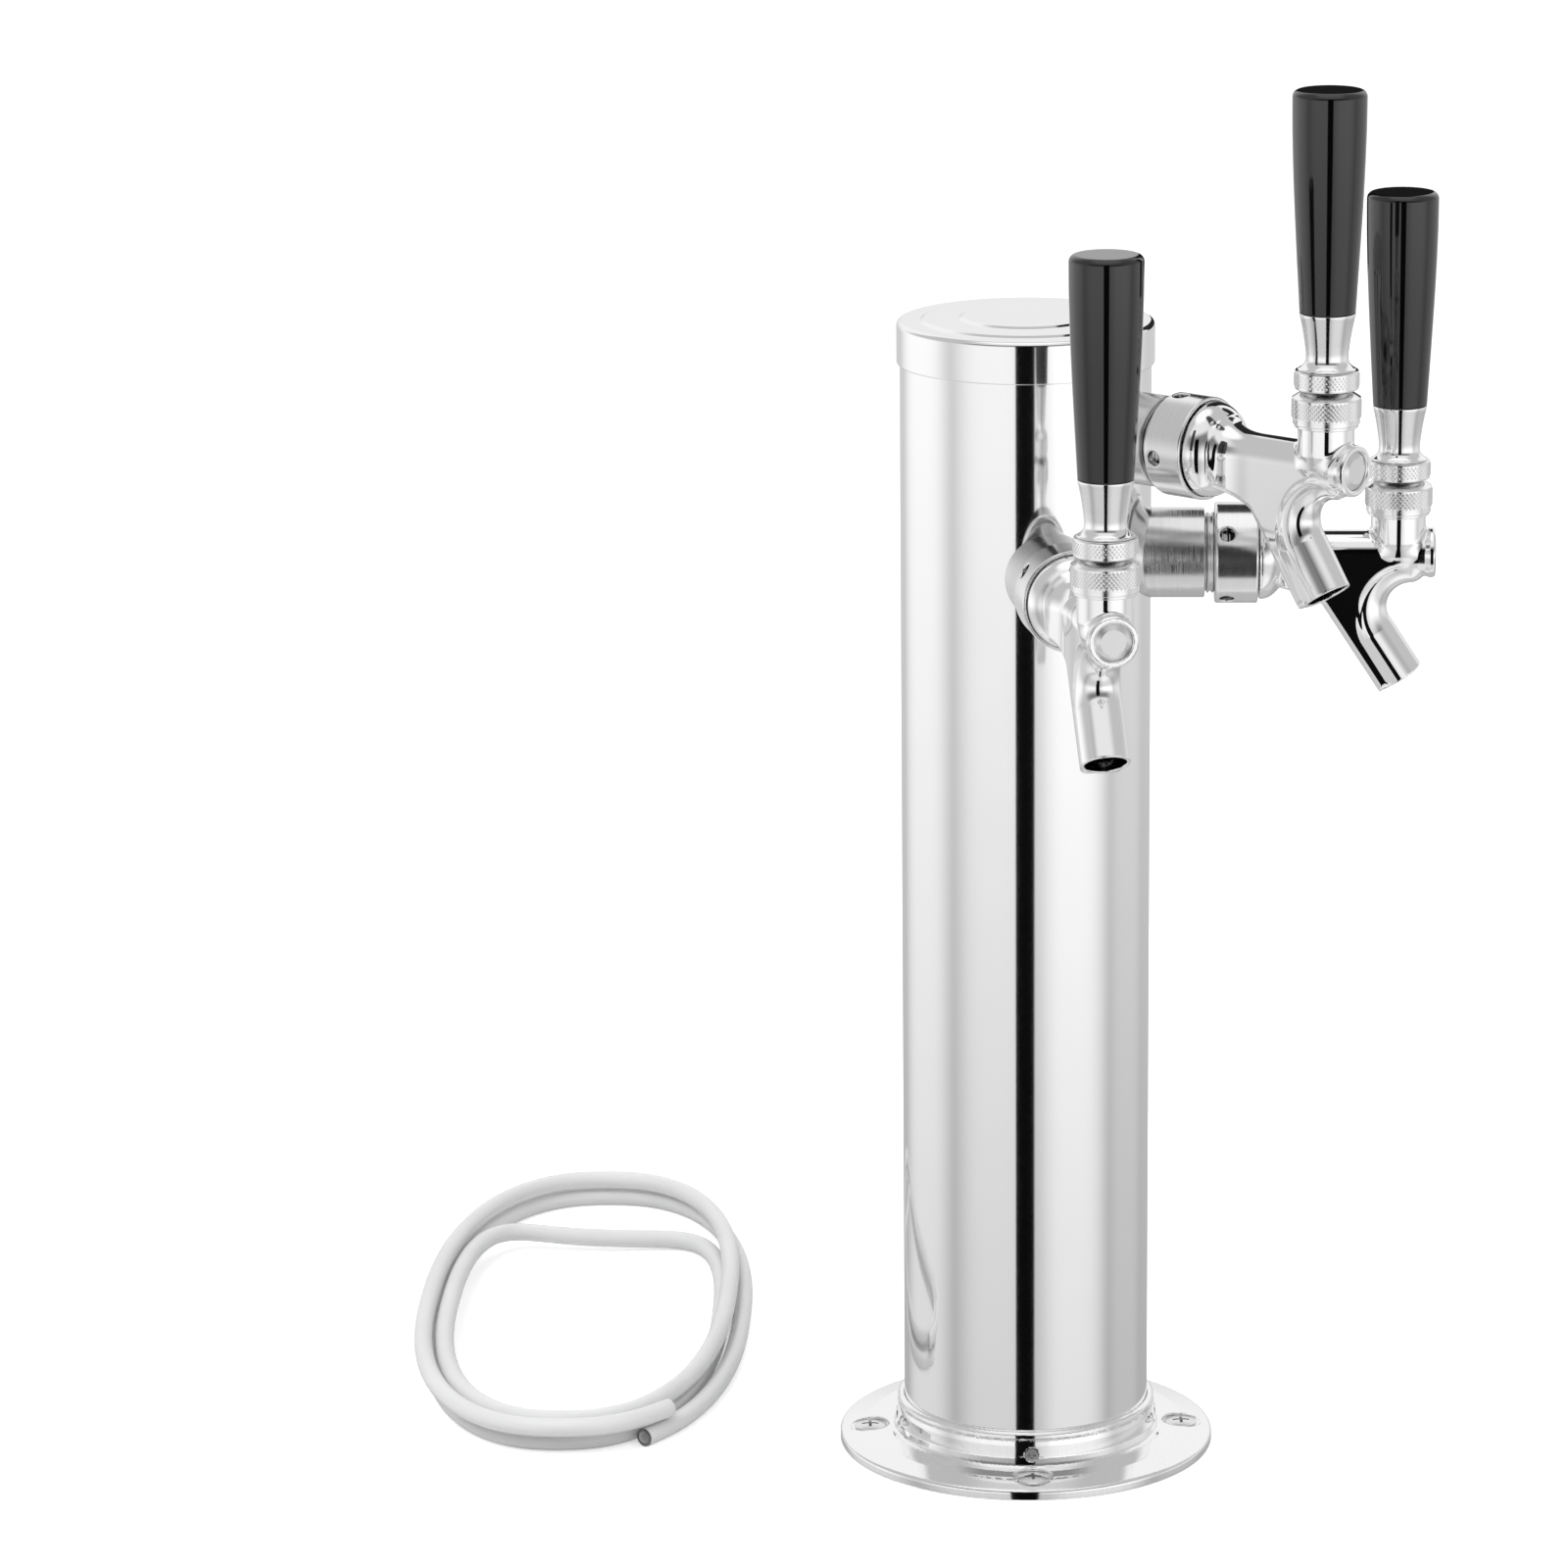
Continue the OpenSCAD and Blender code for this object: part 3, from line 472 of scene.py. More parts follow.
    def slope(self, p: np.ndarray, reach: float = 0.02) -> np.ndarray:
        """The distance's gradient at each point, measured over a small reach.

        Args:
            p: The points.
            reach: The step that it is measured over.

        Returns:
            The gradients.
        """
        found = np.empty_like(p)
        for k in range(3):
            step = UNIT[k] * reach
            found[:, k] = (self.distance(p + step) - self.distance(p - step)) / (2 * reach)
        return found

    def skin(self, low: Sequence[float], high: Sequence[float], step: float,
             soft: float = 0.12) -> Shape:
        """Makes the solid's surface as a closed net of quads that lie on it exactly.

        Args:
            low: Lowest corner of a box round the solid.
            high: Highest corner of that box.
            step: Size of the net's cells.
            soft: Reach over which the normals are evened.

        Returns:
            The surface, with the solid's own normals.
        """
        size = tuple(math.ceil((high[k] - low[k]) / step) + 1 for k in range(3))
        value = self._sampled(np.array(low, float), step, size)
        inside = value < 0
        corners = [(i, j, k) for i in (0, 1) for j in (0, 1) for k in (0, 1)]
        full = sum(inside[i:size[0] - 1 + i, j:size[1] - 1 + j, k:size[2] - 1 + k].astype(np.int8)
                   for i, j, k in corners)
        active = (full > 0) & (full < 8)
        number = np.full(active.shape, -1)
        cell = np.argwhere(active)
        number[active] = np.arange(len(cell))
        points = self._net_points(value, cell) * step + np.array(low, float)
        for _ in range(3):
            slope = self.slope(points)
            reach = self.distance(points) / np.maximum((slope * slope).sum(1), 0.25)
            points = points - np.clip(reach, -step, step)[:, None] * slope
        slope = self.slope(points, soft)
        normals = slope / np.maximum(np.linalg.norm(slope, axis=1), 1e-9)[:, None]
        return Shape(points, self._net_faces(inside, number), normals, grain_about_x(points))

    def _sampled(self, low: np.ndarray, step: float, size: tuple[int, ...], block: int = 6) -> np.ndarray:
        """The distance at each grid point. A block of points far from the surface gets its middle's.

        Args:
            low: The grid's lowest corner.
            step: The grid's step.
            size: How many points it has each way.
            block: Points along each side of a block.

        Returns:
            The distances.
        """
        count = [-(-n // block) for n in size]
        starts = np.argwhere(np.ones(count, bool)) * block
        middle = self.distance(low + (starts + (block - 1) / 2) * step)
        value = np.repeat(np.repeat(np.repeat(middle.reshape(count), block, 0), block, 1), block, 2)
        inner = np.argwhere(np.ones((block,) * 3, bool))
        near = starts[np.abs(middle) < block * step]
        for group in np.array_split(near, max(1, len(near) // 400)):
            spots = (group[:, None, :] + inner[None]).reshape(-1, 3)
            value[tuple(spots.T)] = self.distance(low + spots * step)
        return value[:size[0], :size[1], :size[2]]

    @staticmethod
    def _net_points(value: np.ndarray, cell: np.ndarray) -> np.ndarray:
        """The middle of the crossings on each cell's twelve edges, in cells.

        Args:
            value: The distance at each grid point.
            cell: Number of each cell, each way.

        Returns:
            One point for each cell.
        """
        total, hits = np.zeros(cell.shape), np.zeros(len(cell))
        for k in range(3):
            way, u, v = UNIT[k], UNIT[(k + 1) % 3], UNIT[(k + 2) % 3]
            for corner in (0 * u, u, v, u + v):
                a = cell + corner
                va, vb = value[tuple(a.T)], value[tuple((a + way).T)]
                crossed = (va < 0) != (vb < 0)
                t = np.where(crossed, va / np.where(crossed, va - vb, 1), 0)
                total += np.where(crossed[:, None], a + t[:, None] * way, 0)
                hits += crossed
        return total / hits[:, None]

    @staticmethod
    def _net_faces(inside: np.ndarray, number: np.ndarray) -> list[Sequence[int]]:
        """One quad round each grid edge that the surface crosses.

        Args:
            inside: True at each grid point inside the solid.
            number: The vertex number of each cell.

        Returns:
            The vertex numbers of each quad.
        """
        found = []
        for k in range(3):
            way, u, v = UNIT[k], UNIT[(k + 1) % 3], UNIT[(k + 2) % 3]
            size = np.array(inside.shape) - way
            here = inside[:size[0], :size[1], :size[2]]
            there = inside[way[0]:, way[1]:, way[2]:]
            edge = np.argwhere(here != there)
            quads = np.stack([number[tuple((edge - u - v).T)], number[tuple((edge - v).T)],
                              number[tuple(edge.T)], number[tuple((edge - u).T)]], 1)
            leaving = here[tuple(edge.T)]
            found.append(np.where(leaving[:, None], quads, quads[:, ::-1]))
        return np.vstack(found).tolist()


def operator(operation: str, turned_round: bool = False) -> Callable[..., "Wire"]:
    """Makes a method of Wire that adds one Math node.

    Args:
        operation: The node's operation.
        turned_round: True where the other term comes first.

    Returns:
        The method.
    """
    def apply(self: "Wire", *others: Any) -> "Wire":
        """The operation on this term and the others."""
        terms = (*others, self) if turned_round else (self, *others)
        return self.board.node("ShaderNodeMath", dict(enumerate(terms)), operation=operation)

    return apply


class Wire:
    """One output of a node, as a term of shader or field maths."""

    def __init__(self, board: "Board", socket: bpy.types.NodeSocket) -> None:
        """Keeps the socket and the board that it is on."""
        self.board = board
        self.socket = socket

    def out(self, name: str) -> "Wire":
        """Another output of the same node."""
        return Wire(self.board, self.socket.node.outputs[name])

    __add__ = __radd__ = operator("ADD")
    __sub__, __rsub__ = operator("SUBTRACT"), operator("SUBTRACT", turned_round=True)
    __mul__ = __rmul__ = operator("MULTIPLY")
    __truediv__, __rtruediv__ = operator("DIVIDE"), operator("DIVIDE", turned_round=True)
    __mod__ = operator("FLOORED_MODULO")
    floor, sqrt, atleast = operator("FLOOR"), operator("SQRT"), operator("MAXIMUM")
    sin, cos = operator("SINE"), operator("COSINE")
    arcsin, arctan = operator("ARCSINE"), operator("ARCTAN2")

    def ramp(self, low: float, high: float) -> "Wire":
        """Rises smoothly from 0 to 1, or falls where low is the greater.

        Args:
            low: Where it is 0.
            high: Where it is 1.

        Returns:
            The new term.
        """
        flip = low > high
        ends = {"From Min": min(low, high), "From Max": max(low, high)}
        made = self.board.node("ShaderNodeMapRange", {"Value": self, **ends},
                               interpolation_type="SMOOTHSTEP")
        return 1 - made if flip else made


def tone(grey: float) -> tuple[float, float, float, float]:
    """A grey as a colour."""
    return (grey, grey, grey, 1.0)


class Board:
    """A node tree that is built by expressions."""

    def __init__(self, tree: bpy.types.NodeTree) -> None:
        """Clears the tree."""
        self.tree = tree
        tree.nodes.clear()

    def node(self, kind: str, links: dict[str | int, Any] | None = None, out: str | int = 0,
             **settings: Any) -> Wire:
        """Adds one node.

        Args:
            kind: The node's type.
            links: Value or wire for each input, by name or number.
            out: The output that is returned.
            **settings: What is set on the node itself, before its sockets.

        Returns:
            A wire from that output.
        """
        made = self.tree.nodes.new(kind)
        for name, value in settings.items():
            setattr(made, name, value)
        for name, value in (links or {}).items():
            if isinstance(value, Wire):
                self.tree.links.new(value.socket, made.inputs[name])
            else:
                made.inputs[name].default_value = value
        return Wire(self, made.outputs[out]) if len(made.outputs) else Wire(self, None)

    def vector(self, x: Any, y: Any, z: Any) -> Wire:
        """Joins three terms into a vector."""
        return self.node("ShaderNodeCombineXYZ", {0: x, 1: y, 2: z})

    def parts(self, wire: Wire) -> tuple[Wire, Wire, Wire]:
        """Splits a vector into its three terms."""
        made = self.node("ShaderNodeSeparateXYZ", {0: wire})
        return made, made.out("Y"), made.out("Z")

    def grey(self, shade: Any) -> Wire:
        """A grey as a colour."""
        return self.node("ShaderNodeCombineColor", {0: shade, 1: shade, 2: shade})

    def shader(self, **sockets: Any) -> Wire:
        """A Principled shader, whose sockets are named with _ for a space."""
        return self.node("ShaderNodeBsdfPrincipled",
                         {name.replace("_", " "): value for name, value in sockets.items()})

    def grain(self) -> tuple[Wire, Wire, Wire]:
        """Along, around and out from the piece's own axis, in millimetres."""
        return self.parts(self.node("ShaderNodeAttribute", out="Vector", attribute_name=GRAIN))

    def bump(self, height: Wire, depth: float) -> Wire:
        """A normal that is pressed by a height, in metres of depth."""
        return self.node("ShaderNodeBump", {"Strength": 1.0, "Distance": depth, "Height": height})

    def metal(self, shade: Wire, rough: Wire, normal: Wire) -> Wire:
        """A metal's shader."""
        return self.shader(Base_Color=self.grey(shade), Metallic=1.0, Roughness=rough, Normal=normal)

    def emission(self, grey: float, strength: float) -> Wire:
        """A surface that gives light."""
        return self.node("ShaderNodeEmission", {"Color": tone(grey), "Strength": strength})

    def mix(self, share: Wire, first: Wire, second: Wire) -> Wire:
        """Two shaders, with the share of the second one."""
        return self.node("ShaderNodeMixShader", {0: share, 1: first, 2: second})

    def noise(self, place: Wire, scale: float, detail: float = 2.0) -> Wire:
        """Smooth noise about one half."""
        return self.node("ShaderNodeTexNoise", {"Vector": place, "Scale": scale, "Detail": detail})


def new_material(name: str, build: Callable[[Board], Wire]) -> bpy.types.Material:
    """Makes a material from what builds its shader.

    Args:
        name: The material's name.
        build: Builds the nodes and returns the shader.

    Returns:
        The material.
    """
    made = bpy.data.materials.new(name)
    made.use_nodes = True
    board = Board(made.node_tree)
    board.node("ShaderNodeOutputMaterial", {"Surface": build(board)})
    return made


@dataclass(frozen=True)
class Finish:
    """A finish of one material of the tower.

    Args:
        name: The material's name.
        slot: The record's material slot; not used.
        grey: Base colour, as a grey.
        roughness: Mean roughness.
    """

    name: str
    slot: str
    grey: float
    roughness: float

    def material(self) -> bpy.types.Material:
        """Returns the finish's material, which is made on its first use."""
        label = f"{self.name}_look"
        return bpy.data.materials.get(label) or new_material(label, self.dress)

    def dress(self, board: Board) -> Wire:
        """Builds the finish's nodes.

        Args:
            board: The board that they go on.

        Returns:
            The finish's shader.
        """
        raise NotImplementedError


@dataclass(frozen=True)
class Polished(Finish):
    """Polished steel or chrome: clear reflections, a faint wave and fine wipe marks."""

    wave: float = 0.00001

    def dress(self, board: Board) -> Wire:
        """Builds the finish's nodes.

        Args:
            board: The board that they go on.

        Returns:
            The finish's shader.
        """
        place = board.node("ShaderNodeTexCoord", out="Object")
        x, y, z = board.parts(place)
        cloud = board.noise(place, 60.0)
        wipe = board.noise(board.vector(x * 900.0, y * 900.0, z * 60.0), 1.0, 3.0)
        rough = self.roughness * (0.8 + 0.25 * cloud + 0.3 * wipe)
        shade = self.grey * (0.985 + 0.03 * cloud)
        return board.metal(shade, rough, board.bump(board.noise(place, 90.0, 1.0), self.wave))


@dataclass(frozen=True)
class Turned(Finish):
    """Steel with fine turning marks round the piece's own axis."""

    marks: float = 0.000006

    def dress(self, board: Board) -> Wire:
        """Builds the finish's nodes.

        Args:
            board: The board that they go on.

        Returns:
            The finish's shader.
        """
        along, around, out = board.grain()
        fine = board.noise(board.vector(along * 5.0, around * 0.04, out * 5.0), 1.0, 4.0)
        broad = board.noise(board.vector(along * 1.1, around * 0.02, out * 1.1), 1.0)
        rough = self.roughness * (0.6 + 0.8 * fine)
        shade = self.grey * (0.9 + 0.12 * fine + 0.08 * broad)
        return board.metal(shade, rough, board.bump(fine, self.marks))


@dataclass(frozen=True)
class Satin(Finish):
    """Satin steel with a fine even tooth."""

    tooth: float = 0.00001

    def dress(self, board: Board) -> Wire:
        """Builds the finish's nodes.

        Args:
            board: The board that they go on.

        Returns:
            The finish's shader.
        """
        place = board.node("ShaderNodeTexCoord", out="Object")
        fine = board.noise(place, 5200.0)
        broad = board.noise(place, 160.0)
        rough = self.roughness * (0.85 + 0.3 * fine)
        shade = self.grey * (0.94 + 0.08 * broad + 0.04 * fine)
        return board.metal(shade, rough, board.bump(fine, self.tooth))


@dataclass(frozen=True)
class Plastic(Finish):
    """Moulded plastic or rubber, glossy or dull."""

    gloss: float = 0.5
    grit: float = 0.000004

    def dress(self, board: Board) -> Wire:
        """Builds the finish's nodes.

        Args:
            board: The board that they go on.

        Returns:
            The finish's shader.
        """
        place = board.node("ShaderNodeTexCoord", out="Object")
        cloud = board.noise(place, 140.0)
        fine = board.noise(place, 3000.0, 1.0)
        return board.shader(
            Base_Color=board.grey(self.grey * (0.8 + 0.4 * cloud)), Specular_IOR_Level=self.gloss,
            Roughness=self.roughness * (0.85 + 0.3 * cloud), Normal=board.bump(fine, self.grit))


@dataclass(frozen=True)
class ClearTube(Finish):
    """Milky clear PVC, which lets some light through its wall."""

    def dress(self, board: Board) -> Wire:
        """Builds the finish's nodes.

        Args:
            board: The board that they go on.

        Returns:
            The finish's shader.
        """
        along, around, _ = board.grain()
        cloud = board.noise(board.vector(along * 0.02, around * 0.1, 0.0), 1.0)
        draw = board.noise(board.vector(along * 0.05, around * 3.0, 0.0), 1.0)
        shade = self.grey * (0.95 + 0.08 * cloud)
        colour = board.node("ShaderNodeCombineColor", {0: shade, 1: shade, 2: shade * 1.005})
        return board.shader(
            Base_Color=colour, Roughness=self.roughness * (0.8 + 0.4 * draw), Specular_IOR_Level=0.55,
            Alpha=0.72 + 0.12 * cloud, Normal=board.bump(draw, 0.00001))


COLUMN_STEEL = Polished("column_steel", "column_steel", 0.93, 0.07, wave=0.000004)
CAP_STEEL = Polished("cap_steel", "cap_steel", 0.93, 0.07, wave=0.000004)
BASE_STEEL = Turned("base_steel", "base_steel", 0.93, 0.06, marks=0.0000004)
SCREW_STEEL = Satin("screw_steel", "screw_steel", 0.8, 0.22)
SPACER_STEEL = Turned("spacer_steel", "spacer_steel", 0.76, 0.2, marks=0.00004)
THREAD_STEEL = Turned("thread_steel", "thread_steel", 0.8, 0.2)
PLAIN_STEEL = Satin("plain_steel", "plain_steel", 0.72, 0.3)
NUT_CHROME = Turned("nut_chrome", "faucet_chrome", 0.88, 0.18, marks=0.000006)
BODY_CHROME = Polished("body_chrome", "faucet_chrome", 0.94, 0.05)
FERRULE_CHROME = Turned("ferrule_chrome", "faucet_chrome", 0.93, 0.09, marks=0.000002)
BUTTON_STEEL = Satin("button_steel", "button_steel", 0.86, 0.3, tooth=0.000002)
KNURL_CHROME = Satin("knurl_chrome", "knurled_chrome", 0.92, 0.16)
SEAL_RUBBER = Plastic("seal_rubber", "seal_rubber", 0.03, 0.7, gloss=0.3)
BLACK_NYLON = Plastic("black_nylon", "black_nylon", 0.02, 0.55, gloss=0.4)
BLACK_HANDLE = Plastic("black_handle", "black_handle", 0.002, 0.06, gloss=0.8, grit=0.0000005)
CLEAR_HOSE = ClearTube("clear_hose", "clear_hose", 0.86, 0.24)


def add_object(name: str, data: bpy.types.ID) -> bpy.types.Object:
    """Links a new object, at the origin, into the scene.

    Args:
        name: The object's name.
        data: Its mesh, lamp or camera.

    Returns:
        The new object.
    """
    made = bpy.data.objects.new(name, data)
    bpy.context.scene.collection.objects.link(made)
    return made


def add_piece(name: str, mesh: bpy.types.Mesh, finish: Finish, body: str,
              stands_for: Iterable[str] = ()) -> bpy.types.Object:
    """Adds one piece to the scene and reports it.

    Args:
        name: The piece's name.
        mesh: Its mesh, in place and in metres.
        finish: Its finish.
        body: The body that it rides on.
        stands_for: The nodes that it replaces.

    Returns:
        The new object, at the origin.
    """
    piece = add_object(name, mesh)
    if not mesh.materials:
        mesh.materials.append(finish.material())
    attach(piece, body)
    nodes = list(stands_for)
    if nodes:
        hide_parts(*nodes)
    LOG.info("%s on %s: %d faces", name, body, len(mesh.polygons))
    return piece


def dress_node(frame: dict[str, Any], node: str, finish: Finish) -> None:
    """Gives a node of the frame a better material in its own slots.

    Args:
        frame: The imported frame.
        node: The node's name.
        finish: Its finish.
    """
    data = frame["nodes"][node].data
    if not data.materials:
        data.materials.append(None)
    for k in range(len(data.materials)):
        data.materials[k] = finish.material()


@dataclass(frozen=True)
class Place:
    """Where a tap stands: turned about the column and raised.

    Args:
        side: Which tap it is.
        turn: Turn from the middle tap, in degrees.
        height: Height of the tap's axis, in metres.
    """

    side: Side
    turn: float
    height: float

    @property
    def matrix(self) -> Matrix:
        """From the tap's millimetres to the row's metres."""
        return (Matrix.Translation((0, 0, self.height))
                @ Matrix.Rotation(math.radians(self.turn - 90), 4, "Z") @ Matrix.Scale(MM, 4))

    @property
    def lever(self) -> str:
        """The body of the lever and its handle."""
        return f"{self.side.value}_lever_body"


def tap_places(frame: dict[str, Any], sizes: "FaucetSizes") -> list[Place]:
    """Reads each tap's place from its lever's joint.

    Args:
        frame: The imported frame.
        sizes: A tap's sizes.

    Returns:
        The three places.
    """
    joints = {j["name"]: j for j in frame["joints"]}
    found = []
    for side in Side:
        joint = joints[f"{side.value}_lever_tilt"]
        x, y, z = joint["pos_m"]
        found.append(Place(side, math.degrees(math.atan2(x, -y)), z - sizes.ball_z * MM))
    return found


@dataclass(frozen=True)
class FaucetSizes:
    """Sizes of one tap, in millimetres, in the tap's own frame."""

    column_r: float = 38.1
    spacer_end: float = 54.4
    spacer_r: float = 13.7
    spacer_bore_r: float = 7.6
    shank_back: float = 24.0
    shank_front: float = 62.0
    shank_r: float = 7.5
    shank_bore_r: float = 3.2
    thread_deep: float = 0.75
    thread_r: float = 12.4
    thread_pitch: float = 1.4
    nut_back: float = 57.3
    nut_front: float = 70.4
    nut_r: float = 15.4
    nut_bore_r: float = 12.5
    nut_mouth_r: float = 14.3
    nut_lip_r: float = 10.1
    nut_lip: float = 2.4
    spanner_holes: int = 4
    spanner_hole_r: float = 2.2
    dome_back: float = 70.58
    dome_len: float = 15.4
    neck_reach: float = 113.0
    barrel_r: float = 6.9
    neck_r: float = 8.3
    boss_r: float = 7.6
    boss_front: float = 124.2
    hook_x: float = 118.2
    hook_z: float = -16.2
    hook_reach: float = 15.5
    hook_tighter: float = 2.0
    hook_thinner: float = 1.8
    hook_bore_r: float = 5.8
    spout_r: float = 7.3
    spout_bore_r: float = 6.2
    spout_lean: float = 33.0
    spout_len: float = 16.5
    web_len: float = 32.6
    web_root: float = -9.4
    inlet_bore_r: float = 6.3
    seat_bore_r: float = 5.0
    neck_bore_r: float = 5.7
    slot_back: float = 4.2
    slot_r: float = 3.4
    piston_r: float = 5.6
    ball_z: float = 15.0
    ball_r: float = 6.2
    bonnet_seat: float = 12.0
    bonnet_top: float = 22.5
    bonnet_r: float = 10.3
    bonnet_bore_r: float = 7.96
    stem_bore_r: float = 3.95
    collar_foot: float = 23.3
    collar_head: float = 28.8
    collar_r: float = 9.65
    ferrule_top: float = 45.5
    handle_top: float = 110.5
    handle_low_r: float = 8.15
    handle_rise: float = 2.65
    gap: float = 0.06


@dataclass(kw_only=True)
class TapPart:
    """A sub-assembly of one tap.

    Args:
        place: Where the tap stands.
        sizes: The tap's sizes.
    """

    place: Place
    sizes: FaucetSizes

    @property
    def origin(self) -> Matrix:
        """From the sub-assembly's millimetres to the row's metres."""
        return self.place.matrix

    def add(self, name: str, shape: Shape, finish: Finish, body: str = TOWER, node: str = "") -> None:
        """Adds one piece of the tap.

        Args:
            name: The piece's name, without the tap's side.
            shape: Its shape, in the sub-assembly's millimetres.
            finish: Its finish.
            body: The body that it rides on.
            node: The solid that it stands for, where that has another name.
        """
        side = self.place.side.value
        mesh = shape.moved(self.origin).mesh(f"{side}_{name}_look")
        add_piece(mesh.name, mesh, finish, body, [f"{side}_{node or name}"])


@dataclass(kw_only=True)
class Coupling(TapPart):
    """What carries a tap: spacer sleeve, threaded shank and coupling nut."""

    nut_turns: dict[Side, float] = field(default_factory=lambda: {
        Side.LEFT: 58.0, Side.CENTRE: 7.0, Side.RIGHT: 57.0})

    def build(self) -> None:
        """Makes the three pieces."""
        self.add("spacer", self.spacer(), SPACER_STEEL)
        self.add("shank", self.shank(), THREAD_STEEL)
        self.add("coupling_nut", self.nut(), NUT_CHROME)

    def spacer(self) -> Shape:
        """The sleeve: its inner end is shaped to the column, its front edge has a small chamfer.

        Returns:
            The sleeve.
        """
        s = self.sizes
        sides, chamfer = 96, 0.35
        angle = 2 * math.pi * np.arange(sides) / sides
        walls = []
        for radius in (s.spacer_r, s.spacer_bore_r):
            y, z = radius * np.cos(angle), radius * np.sin(angle)
            back = np.sqrt((s.column_r + s.gap) ** 2 - y * y)
            walls.append([np.stack([back + (s.spacer_end - s.gap - back) * t, y, z], 1)
                          for t in (0.0, 0.03, 0.2, 0.5, 0.8, 0.97, 1.0)])
        outer, inner = walls
        lip = outer[-1] * (1, 1 - chamfer / s.spacer_r, 1 - chamfer / s.spacer_r)
        outer[-1][:, 0] -= chamfer
        points = np.vstack([*outer, lip, *inner[::-1]])
        out = np.hypot(points[:, 1], points[:, 2])
        normals = np.stack([0 * out, points[:, 1] / out, points[:, 2] / out], 1)
        count = len(outer) * sides
        normals[count:count + sides] = (1, 0, 0)
        normals[count + sides:] *= -1
        faces = ring_faces(len(points) // sides, sides, flip=True)
        return Shape(points, faces, normals, grain_about_x(points))

    def shank(self) -> Shape:
        """The threaded shank, whose thread shows behind the coupling nut.

        Returns:
            The shank.
        """
        s = self.sizes
        root_r, pitch = s.thread_r - s.thread_deep, s.thread_pitch
        corners: list[Corner] = [(s.shank_back, s.shank_bore_r, 0.2), (s.shank_back, s.shank_r, 0.4),
                                 (s.spacer_end, s.shank_r, 0.2), (s.spacer_end, root_r, 0.2)]
        x = s.spacer_end + 0.2
        while x + pitch < s.shank_front - 0.4:
            corners += [(x, root_r, 0.1), (x + 0.45 * pitch, s.thread_r, 0.12),
                        (x + 0.55 * pitch, s.thread_r, 0.12)]
            x += pitch
        corners += [(x, root_r, 0.1), (s.shank_front, root_r, 0.2), (s.shank_front, s.shank_bore_r, 0.2)]
        return Outline(corners, closed=True, steps=2).turned(96)

    def nut(self) -> Shape:
        """The coupling nut with its radial spanner holes.

        Returns:
            The nut.
        """
        s = self.sizes
        lip, mouth = s.nut_front - s.nut_lip, s.nut_front - 0.7
        ring = Outline([(s.nut_back, s.nut_bore_r, 0.1), (s.nut_back, s.nut_r, 0.9),
                        (s.nut_front, s.nut_r, 1.0), (s.nut_front, s.nut_mouth_r, 0.2),
                        (mouth, s.nut_mouth_r - 0.1, 0.2), (mouth, s.nut_lip_r, 0.2),
                        (lip, s.nut_lip_r, 0.1), (lip, s.nut_bore_r, 0.1)], closed=True)
        solid = Form.turned(ring.points, Axis.X)
        middle = np.array([s.nut_back + 3.7, 0, 0])
        for i in range(s.spanner_holes):
            angle = math.radians(self.nut_turns[self.place.side] + 360 / s.spanner_holes * i)
            out = np.array([0, math.cos(angle), math.sin(angle)])
            start, end = middle + out * (s.nut_bore_r - 1), middle + out * (s.nut_r + 3)
            solid = solid.cut(Form.rod(start, end, s.spanner_hole_r), 0.55)
        reach = s.nut_r + 0.6
        return solid.skin((s.nut_back - 0.6, -reach, -reach), (s.nut_front + 0.6, reach, reach),
                          0.3)


